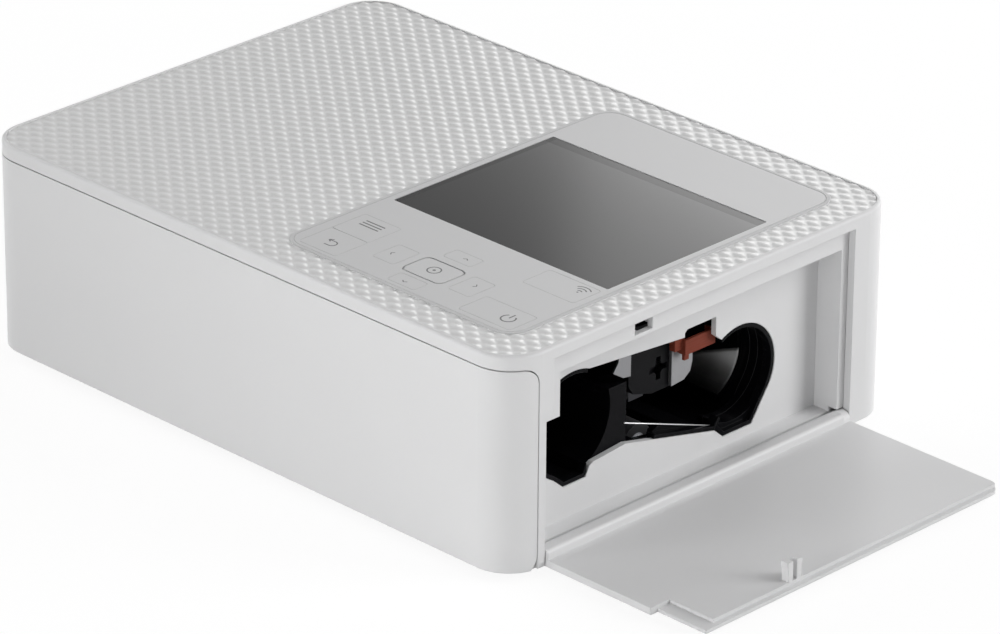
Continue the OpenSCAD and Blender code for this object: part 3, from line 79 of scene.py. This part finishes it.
def seen_directly(tree):
    """1 for rays that show the surface itself, in glass and metal too."""
    path = tree.nodes.new("ShaderNodeLightPath")
    metal = reckoned(tree, "MAXIMUM", path.outputs["Is Camera Ray"], path.outputs["Is Glossy Ray"])
    return reckoned(tree, "MAXIMUM", metal, path.outputs["Is Transmission Ray"])


table_white = bpy.data.materials.new("table_white")
table_white.use_nodes = True
tree = table_white.node_tree
tree.nodes.clear()
paper = tree.nodes.new("ShaderNodeBsdfDiffuse")
paper.inputs["Color"].default_value = (0.86, 0.86, 0.86, 1)
glow = tree.nodes.new("ShaderNodeEmission")
glow.inputs["Strength"].default_value = 1.06
glow_share = 0.86
mix = tree.nodes.new("ShaderNodeMixShader")
tree.links.new(reckoned(tree, "MULTIPLY", seen_directly(tree), glow_share), mix.inputs["Fac"])
tree.links.new(paper.outputs[0], mix.inputs[1])
tree.links.new(glow.outputs[0], mix.inputs[2])
out = tree.nodes.new("ShaderNodeOutputMaterial")
tree.links.new(mix.outputs[0], out.inputs["Surface"])
table.data.materials.append(table_white)

world = bpy.data.worlds.new("studio")
bpy.context.scene.world = world
world.use_nodes = True
tree = world.node_tree
tree.nodes.clear()
dim_studio = tree.nodes.new("ShaderNodeBackground")
dim_studio.inputs["Strength"].default_value = 0.15
white_studio = tree.nodes.new("ShaderNodeBackground")
white_studio.inputs["Strength"].default_value = 1.0
mix = tree.nodes.new("ShaderNodeMixShader")
tree.links.new(seen_directly(tree), mix.inputs["Fac"])
tree.links.new(dim_studio.outputs[0], mix.inputs[1])
tree.links.new(white_studio.outputs[0], mix.inputs[2])
out = tree.nodes.new("ShaderNodeOutputWorld")
tree.links.new(mix.outputs[0], out.inputs["Surface"])


# ---------------------------------------------------------------------------
# Soft lamps: two on the right, of which the low one lights one side of the
# embossed diamonds, two behind, which show in glossy tops, one on the left and
# two in front, of which one is a faint narrow beam.
def soft_lamp(name, place, width, power, aim=(0, 0, 0.03), spread=180.0):
    """A square area lamp turned to a point on the printer."""
    data = bpy.data.lights.new(name, "AREA")
    data.size = width
    data.energy = power
    data.spread = math.radians(spread)
    lamp = bpy.data.objects.new(name, data)
    bpy.context.collection.objects.link(lamp)
    lamp.location = place
    lamp.visible_camera = False
    lamp.rotation_euler = (Vector(aim) - Vector(place)).to_track_quat("-Z", "Y").to_euler()


soft_lamp("right_back", (1.5, 1.2, 0.55), 0.9, 14.6)
soft_lamp("right_high", (1.0, 0.8, 1.2), 0.8, 7.6)
soft_lamp("behind", (0.0, 1.5, 0.5), 0.8, 6.0)
soft_lamp("behind_low", (-0.65, 1.23, 0.56), 0.7, 2.4)
soft_lamp("left", (-1.5, -0.2, 0.8), 1.0, 10.2)
soft_lamp("front_low", (0.15, -0.6, 0.1), 0.25, 1.39)
soft_lamp("front_beam", (-0.35, -1.0, 0.45), 0.3, 0.049, aim=(0.12, -0.066, 0.02), spread=25.0)
bpy.context.scene.view_settings.view_transform = "Standard"


# ---------------------------------------------------------------------------
# White mouldings: upper case, base plate, front cover, ink cover and the two
# frames behind them. Injection-moulded ABS with a fine eroded grain. The
# case's narrow rim round the control panel is lacquered with the panel.
def moulded(name, colour, rough, grain=0.1, grain_size=0.0004, round_edge=0.0002, cloud=0.012,
            shine=0.5):
    """Moulded plastic: fine grain, faint clouding, soft edges that handling
    has polished a little."""
    made = bpy.data.materials.new(name)
    made.use_nodes = True
    tree = made.node_tree
    shader = tree.nodes["Principled BSDF"]
    shader.inputs["Specular IOR Level"].default_value = shine
    place = tree.nodes.new("ShaderNodeTexCoord")
    fine = tree.nodes.new("ShaderNodeTexNoise")
    fine.inputs["Scale"].default_value = 1.0 / grain_size
    fine.inputs["Detail"].default_value = 3.0
    tree.links.new(place.outputs["Object"], fine.inputs["Vector"])
    wide = tree.nodes.new("ShaderNodeTexNoise")
    wide.inputs["Scale"].default_value = 40.0
    tree.links.new(place.outputs["Object"], wide.inputs["Vector"])
    tint = tree.nodes.new("ShaderNodeMapRange")
    tint.inputs["To Min"].default_value = 1.0 - cloud
    tint.inputs["To Max"].default_value = 1.0 + cloud
    tree.links.new(wide.outputs["Fac"], tint.inputs["Value"])
    shade = tree.nodes.new("ShaderNodeMix")
    shade.data_type = "RGBA"
    shade.blend_type = "MULTIPLY"
    shade.inputs["Factor"].default_value = 1.0
    shade.inputs[6].default_value = (*colour, 1)
    tree.links.new(tint.outputs["Result"], shade.inputs[7])
    tree.links.new(shade.outputs[2], shader.inputs["Base Color"])
    edge = tree.nodes.new("ShaderNodeBevel")
    edge.samples = 4
    edge.inputs["Radius"].default_value = round_edge
    flat = tree.nodes.new("ShaderNodeNewGeometry")
    turned = reckoned(tree, "DOT_PRODUCT", edge.outputs["Normal"], flat.outputs["Normal"], vector=True)
    worn = tree.nodes.new("ShaderNodeMapRange")
    worn.inputs["From Min"].default_value = 0.8
    worn.inputs["To Min"].default_value = -0.08
    worn.inputs["To Max"].default_value = 0.0
    tree.links.new(turned, worn.inputs["Value"])
    rub = tree.nodes.new("ShaderNodeMapRange")
    rub.inputs["To Min"].default_value = rough - 0.05
    rub.inputs["To Max"].default_value = rough + 0.05
    tree.links.new(fine.outputs["Fac"], rub.inputs["Value"])
    both = tree.nodes.new("ShaderNodeMath")
    both.operation = "ADD"
    both.use_clamp = True
    tree.links.new(rub.outputs["Result"], both.inputs[0])
    tree.links.new(worn.outputs["Result"], both.inputs[1])
    tree.links.new(both.outputs[0], shader.inputs["Roughness"])
    bump = tree.nodes.new("ShaderNodeBump")
    bump.inputs["Strength"].default_value = grain
    bump.inputs["Distance"].default_value = grain_size * 0.3
    tree.links.new(fine.outputs["Fac"], bump.inputs["Height"])
    tree.links.new(edge.outputs["Normal"], bump.inputs["Normal"])
    tree.links.new(bump.outputs["Normal"], shader.inputs["Normal"])
    return made


def where(tree):
    """The place on the piece, in metres."""
    return next(n for n in tree.nodes if n.type == "TEX_COORD").outputs["Object"]


def ground_colour(tree):
    """The clouded colour that moulded() gives a piece."""
    return next(n for n in tree.nodes if n.type == "MIX" and n.blend_type == "MULTIPLY").outputs[2]


def overlaid(tree, share, ground, colour):
    """One colour laid over another where the share is 1."""
    laid = tree.nodes.new("ShaderNodeMix")
    laid.data_type = "RGBA"
    tree.links.new(share, laid.inputs["Factor"])
    for socket, given in ((laid.inputs[6], ground), (laid.inputs[7], colour)):
        if isinstance(given, bpy.types.NodeSocket):
            tree.links.new(given, socket)
        else:
            socket.default_value = (*given, 1)
    return laid.outputs[2]


def dress(material, *names):
    """Gives the CAD nodes of these names one material."""
    for name in names:
        slots = nodes[name].data.materials
        slots.clear()
        slots.append(material)


white_abs = moulded("white_abs", (0.78, 0.78, 0.785), 0.45, grain=0.12, round_edge=0.00025)
dress(white_abs, "base_plate", "front_frame", "front_cover", "ink_cover", "ink_frame")

case_white = white_abs.copy()
case_white.name = "case_white"
tree = case_white.node_tree
panel_middle = (0.04255, 0, 0.0676)
rim_reach = {"X": 0.0388, "Y": 0.0566, "Z": 0.0101}
from_panel = reckoned(tree, "ABSOLUTE", reckoned(tree, "SUBTRACT", where(tree), panel_middle, vector=True),
                      vector=True)
sides = tree.nodes.new("ShaderNodeSeparateXYZ")
tree.links.new(from_panel, sides.inputs["Vector"])
within = [reckoned(tree, "LESS_THAN", sides.outputs[axis], reach) for axis, reach in rim_reach.items()]
lacquered = reckoned(tree, "MULTIPLY", reckoned(tree, "MULTIPLY", within[0], within[1]), within[2])
rim = overlaid(tree, lacquered, ground_colour(tree), (0.60, 0.60, 0.605))
tree.links.new(rim, tree.nodes["Principled BSDF"].inputs["Base Color"])
dress(case_white, "upper_case")

# ---------------------------------------------------------------------------
# Embossed skin: a white moulded sheet laid in the pocket round the control
# panel, pressed all over into small soft diamond pyramids and left glossy.
skin_base = 0.057155
skin_valley = 0.05718
skin_apex = 0.057595
deck_top = 0.0576
diamond_x, diamond_y = 0.00521, 0.00433
cells, cell = 67, 0.001
kept_x, kept_y = 0.0945, 0.0695
relief_depth = 0.002
bpy.ops.mesh.primitive_grid_add(x_subdivisions=cells, y_subdivisions=cells, size=cells * cell,
                                location=(0, 0, 0))
relief = bpy.context.object
bpy.ops.object.mode_set(mode="EDIT")
bpy.ops.mesh.select_all(action="SELECT")
bpy.ops.transform.rotate(value=math.pi / 4, orient_axis="Z", center_override=(0, 0, 0))
bpy.ops.transform.resize(value=(diamond_x / cell / math.sqrt(2), diamond_y / cell / math.sqrt(2), 1),
                         center_override=(0, 0, 0))
bpy.ops.mesh.select_all(action="DESELECT")
bpy.ops.mesh.select_mode(type="FACE")
pressed = bmesh.from_edit_mesh(relief.data)
for face in pressed.faces:
    middle = face.calc_center_median()
    face.select_set(abs(middle.x) > kept_x or abs(middle.y) > kept_y)
bmesh.update_edit_mesh(relief.data)
bpy.ops.mesh.delete(type="FACE")
bpy.ops.mesh.select_all(action="SELECT")
bpy.ops.mesh.poke(offset=skin_apex - skin_valley)
bpy.ops.mesh.subdivide(number_cuts=2)
bpy.ops.mesh.select_all(action="SELECT")
bpy.ops.transform.translate(value=(0, 0, skin_valley))
bpy.ops.mesh.extrude_region_move(TRANSFORM_OT_translate={"value": (0, 0, -relief_depth)})
bpy.ops.mesh.select_all(action="SELECT")
bpy.ops.mesh.normals_make_consistent(inside=False)
bpy.ops.object.mode_set(mode="OBJECT")


def rounded_slab(name, centre, width, depth, corner, low, high):
    """A slab with rounded corners, from one height to another."""
    bpy.ops.object.select_all(action="DESELECT")
    bpy.ops.mesh.primitive_cube_add(size=1.0, location=(centre[0], centre[1], (low + high) / 2))
    slab = bpy.context.object
    slab.name = name
    bpy.ops.object.mode_set(mode="EDIT")
    bpy.ops.mesh.select_all(action="SELECT")
    bpy.ops.transform.resize(value=(width, depth, high - low))
    bpy.ops.mesh.select_all(action="DESELECT")
    bpy.ops.mesh.select_mode(type="EDGE")
    sides = bmesh.from_edit_mesh(slab.data)
    for edge in sides.edges:
        ends = [corner_point.co for corner_point in edge.verts]
        edge.select_set(abs(ends[0].z - ends[1].z) > (high - low) / 2)
    bmesh.update_edit_mesh(slab.data)
    bpy.ops.mesh.bevel(offset=corner, segments=12, affect="EDGES")
    bpy.ops.object.mode_set(mode="OBJECT")
    bpy.ops.object.transform_apply(location=True, rotation=True, scale=True)
    return slab


def cut(piece, tool, how):
    """Joins, cuts or keeps what a second solid shares, and drops the second."""
    bpy.ops.object.select_all(action="DESELECT")
    bpy.context.view_layer.objects.active = piece
    piece.select_set(True)
    step = piece.modifiers.new("cut", "BOOLEAN")
    step.operation = how
    step.object = tool
    step.solver = "EXACT"
    bpy.ops.object.modifier_apply(modifier="cut")
    bpy.data.objects.remove(tool)


over = 0.001
skin = rounded_slab("embossed_skin", (0, 0), 0.1798, 0.1306, 0.0092, skin_base, deck_top)
panel_gap = rounded_slab("panel_gap", panel_middle[:2], 0.0753, 0.111, 0.0080, skin_base - over,
                         deck_top + over)
cut(skin, panel_gap, "DIFFERENCE")
cut(skin, relief, "INTERSECT")
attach(skin, "case")
bpy.ops.object.select_all(action="DESELECT")
skin.select_set(True)
bpy.context.view_layer.objects.active = skin
bpy.ops.object.shade_smooth_by_angle(angle=math.radians(50))
skin_white = moulded("skin_white", (0.80, 0.80, 0.80), 0.18, grain=0.03, grain_size=0.0003,
                     round_edge=0.00001)
skin.data.materials.clear()
skin.data.materials.append(skin_white)

# ---------------------------------------------------------------------------
# Rubber feet: four plugs of black rubber pressed into the base plate, dull,
# with a little dust in the surface.
rubber = moulded("rubber", (0.025, 0.025, 0.027), 0.75, grain=0.4, grain_size=0.0006, cloud=0.15)
dress(rubber, "feet")


# ---------------------------------------------------------------------------
# Steel pieces: screws, chassis plates, bracket, shafts, motor cans and the
# cases of the sockets. Plated or turned steel, with fine marks of the tool.
def steel(name, colour, rough, marks, stretch):
    """Bare or plated metal with fine tool marks, drawn out along one axis."""
    made = moulded(name, colour, rough, grain=marks, grain_size=0.0003, round_edge=0.0001, cloud=0.04)
    tree = made.node_tree
    tree.nodes["Principled BSDF"].inputs["Metallic"].default_value = 1.0
    fine = next(n for n in tree.nodes if n.type == "TEX_NOISE" and n.inputs["Scale"].default_value > 1000)
    drawn = tree.nodes.new("ShaderNodeMapping")
    drawn.inputs["Scale"].default_value = stretch
    tree.links.new(where(tree), drawn.inputs["Vector"])
    tree.links.new(drawn.outputs["Vector"], fine.inputs["Vector"])
    return made


zinc_sheet = steel("zinc_sheet", (0.56, 0.57, 0.59), 0.32, 0.15, (1.0, 0.06, 1.0))
dress(zinc_sheet, "chassis_left", "chassis_right", "motor_bracket", "case_screws")
turned_steel = steel("turned_steel", (0.60, 0.61, 0.63), 0.22, 0.10, (1.0, 0.05, 0.05))
dress(turned_steel, "head_shaft", "capstan_roller", "pinch_roller")
motor_can = steel("motor_can", (0.50, 0.51, 0.52), 0.28, 0.08, (1.0, 0.08, 0.08))
dress(motor_can, "feed_motor", "ribbon_motor")
tin_case = steel("tin_case", (0.62, 0.62, 0.61), 0.25, 0.08, (0.08, 1.0, 1.0))
dress(tin_case, "card_reader", "usb_port")
brass = steel("brass", (0.68, 0.50, 0.22), 0.28, 0.10, (1.0, 0.08, 0.08))
dress(brass, "motor_pinion", "ribbon_pinion")

# ---------------------------------------------------------------------------
# Gears and spindles: moulded in natural nylon, a little waxy.
nylon = moulded("nylon", (0.74, 0.73, 0.70), 0.42, grain=0.05, cloud=0.03)
nylon.node_tree.nodes["Principled BSDF"].inputs["Subsurface Weight"].default_value = 0.1
nylon.node_tree.nodes["Principled BSDF"].inputs["Subsurface Scale"].default_value = 0.001
dress(nylon, "idler_gear", "takeup_spindle", "supply_spindle")


# ---------------------------------------------------------------------------
# Platen and pick-up rollers: ground rubber sleeves on steel shafts, with a
# nylon gear moulded on the left end.
def sleeved(name, axis, shaft_radius, sleeve_x0):
    """Rubber where a sleeve stands round the shaft, nylon at the gear."""
    sleeve, gear_nylon, shaft_steel = (0.03, 0.03, 0.032), (0.74, 0.73, 0.70), (0.60, 0.61, 0.63)
    made = moulded(name, sleeve, 0.7, grain=0.35, grain_size=0.0005, round_edge=0.0001, cloud=0.1)
    tree = made.node_tree
    shader = tree.nodes["Principled BSDF"]
    apart = tree.nodes.new("ShaderNodeSeparateXYZ")
    tree.links.new(where(tree), apart.inputs["Vector"])
    centred = reckoned(tree, "SUBTRACT", where(tree), (0, *axis), vector=True)
    across = reckoned(tree, "MULTIPLY", centred, (0, 1, 1), vector=True)
    radius = reckoned(tree, "LENGTH", across, vector=True)
    outside = reckoned(tree, "GREATER_THAN", radius, shaft_radius)
    gear = reckoned(tree, "LESS_THAN", apart.outputs["X"], sleeve_x0)
    toothed = overlaid(tree, gear, sleeve, gear_nylon)
    tree.links.new(overlaid(tree, outside, shaft_steel, toothed), shader.inputs["Base Color"])
    tree.links.new(reckoned(tree, "SUBTRACT", 1.0, outside), shader.inputs["Metallic"])
    return made


shaft_top, gear_end = 0.0026, -0.041
dress(sleeved("platen_rubber", (-0.004, 0.0095), shaft_top, gear_end), "platen_roller")
dress(sleeved("pickup_rubber", (-0.02385, 0.0088), shaft_top, gear_end), "pickup_roller")


# ---------------------------------------------------------------------------
# Circuit boards: green solder mask over copper tracks, with tinned pads, and
# black parts soldered on top.
def circuit_board(name, top):
    """Solder mask with tracks and pads up to the board's top, black above."""
    made = bpy.data.materials.new(name)
    made.use_nodes = True
    tree = made.node_tree
    shader = tree.nodes["Principled BSDF"]
    place = tree.nodes.new("ShaderNodeTexCoord")
    tracks = tree.nodes.new("ShaderNodeTexBrick")
    tracks.inputs["Scale"].default_value = 260.0
    tracks.inputs["Mortar Size"].default_value = 0.06
    tracks.inputs["Mortar Smooth"].default_value = 0.1
    tracks.inputs["Brick Width"].default_value = 1.7
    tracks.inputs["Row Height"].default_value = 0.35
    tracks.inputs["Color1"].default_value = (0.018, 0.115, 0.055, 1)
    tracks.inputs["Color2"].default_value = (0.022, 0.130, 0.062, 1)
    tracks.inputs["Mortar"].default_value = (0.045, 0.22, 0.10, 1)
    tree.links.new(place.outputs["Object"], tracks.inputs["Vector"])
    pads = tree.nodes.new("ShaderNodeTexVoronoi")
    pads.inputs["Scale"].default_value = 330.0
    pads.inputs["Randomness"].default_value = 0.55
    tree.links.new(place.outputs["Object"], pads.inputs["Vector"])
    tinned = reckoned(tree, "LESS_THAN", pads.outputs["Distance"], 0.17)
    soldered = overlaid(tree, tinned, tracks.outputs["Color"], (0.62, 0.62, 0.60))
    apart = tree.nodes.new("ShaderNodeSeparateXYZ")
    tree.links.new(place.outputs["Object"], apart.inputs["Vector"])
    mask_thickness = 0.00005
    above = reckoned(tree, "GREATER_THAN", apart.outputs["Z"], top + mask_thickness)
    fitted = overlaid(tree, above, soldered, (0.02, 0.02, 0.022))
    tree.links.new(fitted, shader.inputs["Base Color"])
    matt = tree.nodes.new("ShaderNodeMapRange")
    matt.inputs["To Min"].default_value = 0.28
    matt.inputs["To Max"].default_value = 0.55
    tree.links.new(above, matt.inputs["Value"])
    tree.links.new(matt.outputs["Result"], shader.inputs["Roughness"])
    raised = tree.nodes.new("ShaderNodeBump")
    raised.inputs["Strength"].default_value = 0.3
    raised.inputs["Distance"].default_value = mask_thickness
    tree.links.new(tracks.outputs["Fac"], raised.inputs["Height"])
    tree.links.new(raised.outputs["Normal"], shader.inputs["Normal"])
    return made


dress(circuit_board("main_board_mask", 0.0478), "main_board")
dress(circuit_board("power_board_mask", 0.0096), "power_board")
dress(circuit_board("io_board_mask", 0.0220), "io_board")
dress(circuit_board("key_board_mask", 0.0526), "key_board")

# ---------------------------------------------------------------------------
# Black mouldings of the ink bay: the head carrier, the cassette bay, the
# paper guide, the switch and the power socket. Satin black ABS.
satin_black = moulded("satin_black", (0.005, 0.005, 0.006), 0.34, grain=0.12, round_edge=0.0003,
                      cloud=0.15, shine=0.08)
dress(satin_black, "head_carrier", "cassette_bay", "paper_guide", "cover_switch", "dc_jack")

# ---------------------------------------------------------------------------
# Bay liner: gloss black ABS, with two thin lighter lines round the collar that are painted
# highlights on the edges of steps in the liner. The take-up trough's back wall behind the collar
# carries a painted pool of light in pale grey, with a painted shadow edge and painted shade below.
bay_black = moulded("bay_black", (0.004, 0.004, 0.005), 0.16, grain=0.03, grain_size=0.0008,
                    round_edge=0.00025, cloud=0.2, shine=0.06)
tree = bay_black.node_tree
shader = tree.nodes["Principled BSDF"]
apart = tree.nodes.new("ShaderNodeSeparateXYZ")
tree.links.new(where(tree), apart.inputs["Vector"])
spool_y, spool_z = 0.0211, 0.0228
from_axis = reckoned(tree, "MULTIPLY_ADD", where(tree), (0, 1, 1), (0, -spool_y, -spool_z), vector=True)


def fades(value, start, end, smooth=False):
    """Goes from 0 at the start to 1 at the end."""
    fade = tree.nodes.new("ShaderNodeMapRange")
    fade.interpolation_type = "SMOOTHSTEP" if smooth else "LINEAR"
    fade.inputs["From Min"].default_value = start
    fade.inputs["From Max"].default_value = end
    tree.links.new(value, fade.inputs["Value"])
    return fade.outputs["Result"]


# The pale patch is a painted pool of light on the back wall of the take-up trough, behind the collar: a
# painted shadow edge slants across its top and painted shade darkens it towards the bottom.
trough_radius, light_pool_end_x = 0.0122, 0.07055
shadow_edge_height = reckoned(tree, "DOT_PRODUCT", where(tree), (-0.38, 0, 1), vector=True)
painted_light_pool = fades(reckoned(tree, "LENGTH", from_axis, vector=True), trough_radius, trough_radius - 0.0001)
for limit in (fades(apart.outputs["Z"], 0.0112, 0.0195, smooth=True),
              reckoned(tree, "LESS_THAN", apart.outputs["X"], light_pool_end_x),
              fades(shadow_edge_height, -0.0048, -0.0058)):
    painted_light_pool = reckoned(tree, "MULTIPLY", painted_light_pool, limit)

# Painted highlights: two thin lighter lines round the collar stand for light caught on the edges of steps
# in the liner.
edge_glint_width, collar_y = 0.00024, 0.015
ground = ground_colour(tree)
for edge_glint_x in (0.0731, 0.0757):
    nearer = reckoned(tree, "COMPARE", apart.outputs["X"], edge_glint_x, edge_glint_width / 2)
    right_side = reckoned(tree, "GREATER_THAN", apart.outputs["Y"], collar_y)
    ground = overlaid(tree, reckoned(tree, "MULTIPLY", nearer, right_side), ground, (0.035, 0.035, 0.037))
# Painted light: the pale grey, metallic and rough pool over the black, which carries the painted edge
# highlights.
tree.links.new(overlaid(tree, painted_light_pool, ground, (0.85, 0.85, 0.85)), shader.inputs["Base Color"])
tree.links.new(painted_light_pool, shader.inputs["Metallic"])
rubbed = shader.inputs["Roughness"].links[0].from_socket
satin = tree.nodes.new("ShaderNodeMix")
satin.inputs["B"].default_value = 0.8
tree.links.new(painted_light_pool, satin.inputs["Factor"])
tree.links.new(rubbed, satin.inputs["A"])
tree.links.new(satin.outputs[0], shader.inputs["Roughness"])
dress(bay_black, "bay_liner")

# ---------------------------------------------------------------------------
# Thermal head: a black anodised heat sink with fine lines from extrusion,
# and a tongue plate of dull steel on the end of its carrier.
anodised = steel("anodised", (0.05, 0.05, 0.055), 0.35, 0.10, (0.05, 1.0, 1.0))
dress(anodised, "print_head")
dull_steel = steel("dull_steel", (0.33, 0.33, 0.34), 0.5, 0.08, (1.0, 1.0, 0.06))
dress(dull_steel, "head_plate")

# ---------------------------------------------------------------------------
# Cassette spring: a leaf of stainless steel on the back of the frame.
bright_steel = steel("bright_steel", (0.30, 0.30, 0.31), 0.30, 0.12, (1.0, 1.0, 0.06))
dress(bright_steel, "cassette_spring")

# ---------------------------------------------------------------------------
# Guide wire: a straight steel wire with rounded ends, pinned across the foot
# of the ink bay from the ribbon wall down to the collar.
wire_left, wire_right = Vector((0.0801, -0.01705, 0.02208)), Vector((0.0801, 0.0133, 0.0110))
bpy.ops.object.select_all(action="DESELECT")
wire_radius, wire_rounding = 0.0002, 0.00012
bpy.ops.mesh.primitive_cylinder_add(vertices=12, radius=wire_radius,
                                    depth=(wire_right - wire_left).length, location=(0, 0, 0))
guide_wire = bpy.context.object
guide_wire.name = "guide_wire"
bpy.ops.object.mode_set(mode="EDIT")
bpy.ops.mesh.select_all(action="DESELECT")
bpy.ops.mesh.select_mode(type="FACE")
drawn = bmesh.from_edit_mesh(guide_wire.data)
for face in drawn.faces:
    face.select_set(abs(face.normal.z) > 0.9)
bmesh.update_edit_mesh(guide_wire.data)
bpy.ops.mesh.bevel(offset=wire_rounding, segments=3, affect="EDGES")
bpy.ops.object.mode_set(mode="OBJECT")
guide_wire.rotation_euler = (wire_right - wire_left).to_track_quat("Z", "X").to_euler()
guide_wire.location = (wire_left + wire_right) / 2
bpy.ops.object.transform_apply(location=True, rotation=True, scale=True)
bpy.ops.object.shade_smooth_by_angle(angle=math.radians(40))
guide_wire.data.materials.append(steel("drawn_wire", (0.62, 0.62, 0.63), 0.35, 0.05, (1.0, 0.1, 0.1)))
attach(guide_wire, "case")

# ---------------------------------------------------------------------------
# Eject lever: moulded in brick-red ABS, with fine ribs across the finger
# grip.
lever_red = moulded("lever_red", (0.205, 0.045, 0.026), 0.5, grain=0.1, round_edge=0.0002, cloud=0.08,
                    shine=0.12)
tree = lever_red.node_tree
ribs = tree.nodes.new("ShaderNodeTexWave")
ribs.bands_direction = "Z"
ribs.inputs["Scale"].default_value = 450.0
tree.links.new(where(tree), ribs.inputs["Vector"])
ribbed = tree.nodes.new("ShaderNodeBump")
ribbed.inputs["Strength"].default_value = 0.35
ribbed.inputs["Distance"].default_value = 0.00008
grained = next(n for n in tree.nodes if n.type == "BUMP")
tree.links.new(ribs.outputs["Fac"], ribbed.inputs["Height"])
tree.links.new(grained.outputs["Normal"], ribbed.inputs["Normal"])
tree.links.new(ribbed.outputs["Normal"], tree.nodes["Principled BSDF"].inputs["Normal"])
dress(lever_red, "eject_lever")

# ---------------------------------------------------------------------------
# Screen: a smoked window over the display module, whose grey lightens towards the back as a painted
# reflection. Darker bands along its left and back edges are painted shade of the window's inner walls.
screen_glass = moulded("screen_glass", (0.08, 0.08, 0.085), 0.14, grain=0.0, round_edge=0.0001, cloud=0.0,
                       shine=0.14)
tree = screen_glass.node_tree
dark_grey = 0.051
# Painted reflection: the grey brightens exponentially towards the back and right.
reflection_slope = reckoned(tree, "DOT_PRODUCT", where(tree), (9.0, 31.0, 0.0), vector=True)
painted_screen_tone = reckoned(tree, "MULTIPLY", reckoned(tree, "EXPONENT", reflection_slope), dark_grey)
apart = tree.nodes.new("ShaderNodeSeparateXYZ")
tree.links.new(where(tree), apart.inputs["Vector"])
glass_left, glass_back = 0.00692, 0.03328
# Painted shade: the inner walls of the window's well show as darker bands along its left and back edges.
left_wall_shade, back_wall_shade, wall_shade_strength = 0.0016, 0.0030, 0.3
for axis, side, at in (("X", "LESS_THAN", glass_left + left_wall_shade),
                       ("Y", "GREATER_THAN", glass_back - back_wall_shade)):
    inside = reckoned(tree, side, apart.outputs[axis], at)
    wall_shaded = reckoned(tree, "MULTIPLY_ADD", inside, -wall_shade_strength, 1.0)
    painted_screen_tone = reckoned(tree, "MULTIPLY", painted_screen_tone, wall_shaded)
tree.links.new(painted_screen_tone, tree.nodes["Principled BSDF"].inputs["Base Color"])
dress(screen_glass, "screen_window")
display_black = moulded("display_black", (0.015, 0.015, 0.016), 0.3, grain=0.05, cloud=0.1)
dress(display_black, "lcd_module")

# ---------------------------------------------------------------------------
# Control panel and its nine keys: one pale grey satin moulding with the keys
# let into it flush, under a smooth lacquer.
panel_grey = moulded("panel_grey", (0.63, 0.63, 0.635), 0.34, grain=0.04, grain_size=0.0003,
                     round_edge=0.00012, cloud=0.01)
dress(panel_grey, "control_panel")


def bar_shape(tree, shift, length, angle, ink):
    """1 on a straight bar of ink, in millimetres and degrees."""
    lean = math.radians(angle)
    along = reckoned(tree, "DOT_PRODUCT", shift, (math.cos(lean), math.sin(lean), 0), vector=True)
    across = reckoned(tree, "DOT_PRODUCT", shift, (-math.sin(lean), math.cos(lean), 0), vector=True)
    past_end = reckoned(tree, "SUBTRACT", reckoned(tree, "ABSOLUTE", along), length / 2000)
    past_side = reckoned(tree, "SUBTRACT", reckoned(tree, "ABSOLUTE", across), ink / 2000)
    return reckoned(tree, "LESS_THAN", reckoned(tree, "MAXIMUM", past_end, past_side), 0.0)


def ring_shape(tree, shift, radius, towards, least, ink):
    """1 on a ring of ink, left open away from its direction."""
    away = reckoned(tree, "LENGTH", shift, vector=True)
    off = reckoned(tree, "ABSOLUTE", reckoned(tree, "SUBTRACT", away, radius / 1000))
    facing = (math.cos(math.radians(towards)), math.sin(math.radians(towards)), 0)
    turned = reckoned(tree, "DOT_PRODUCT", reckoned(tree, "NORMALIZE", shift, vector=True), facing,
                      vector=True)
    return reckoned(tree, "MULTIPLY", reckoned(tree, "LESS_THAN", off, ink / 2000),
                    reckoned(tree, "GREATER_THAN", turned, least))


def printed(name, ink, *signs):
    """The panel's finish for one key, with its sign printed under the lacquer.
    A sign is made of bars (x, y, length, angle) and rings (x, y, radius,
    towards, least), in millimetres and degrees."""
    made = panel_grey.copy()
    made.name = name + "_printed"
    tree = made.node_tree
    flat = reckoned(tree, "MULTIPLY", where(tree), (1, 1, 0), vector=True)
    inked = None
    for x, y, *form in signs:
        shift = reckoned(tree, "SUBTRACT", flat, (x / 1000, y / 1000, 0), vector=True)
        shape = (bar_shape if len(form) == 2 else ring_shape)(tree, shift, *form, ink)
        inked = shape if inked is None else reckoned(tree, "MAXIMUM", inked, shape)
    coloured = overlaid(tree, inked, ground_colour(tree), (0.10, 0.10, 0.105))
    tree.links.new(coloured, tree.nodes["Principled BSDF"].inputs["Base Color"])
    dress(made, name)


printed("ok_key", 0.35, (42.5, -42.9, 1.7, 0, -2), (42.5, -42.9, 0.25, 0, -2))
printed("menu_key", 0.45, (14.3, -34.6, 6.4, 0), (14.3, -35.8, 6.4, 0), (14.3, -37.0, 6.4, 0))
printed("back_key", 0.35, (14.9, -49.6, 1.25, 0, 0.0), (13.9, -48.35, 2.4, 0), (14.2, -50.85, 1.5, 0),
        (13.2, -48.0, 1.3, 35), (13.2, -48.7, 1.3, -35))
printed("power_key", 0.4, (73.3, -49.3, 1.8, -90, -0.8), (73.3, -48.0, 2.2, 90))
printed("wireless_key", 0.35, (74.4, -27.6, 1.0, 90, 0.72), (74.4, -27.6, 2.1, 90, 0.72),
        (74.4, -27.6, 3.2, 90, 0.72), (74.4, -27.6, 0.1, 0, -2))
printed("up_key", 0.25, (43.05, -33.2, 1.0, 40), (43.75, -33.2, 1.0, -40))
printed("down_key", 0.25, (41.7, -52.3, 1.0, -40), (42.4, -52.3, 1.0, 40))
printed("left_key", 0.25, (28.7, -42.9, 1.0, 50), (28.7, -43.6, 1.0, -50))
printed("right_key", 0.25, (55.5, -41.8, 1.0, -50), (55.5, -42.5, 1.0, 50))
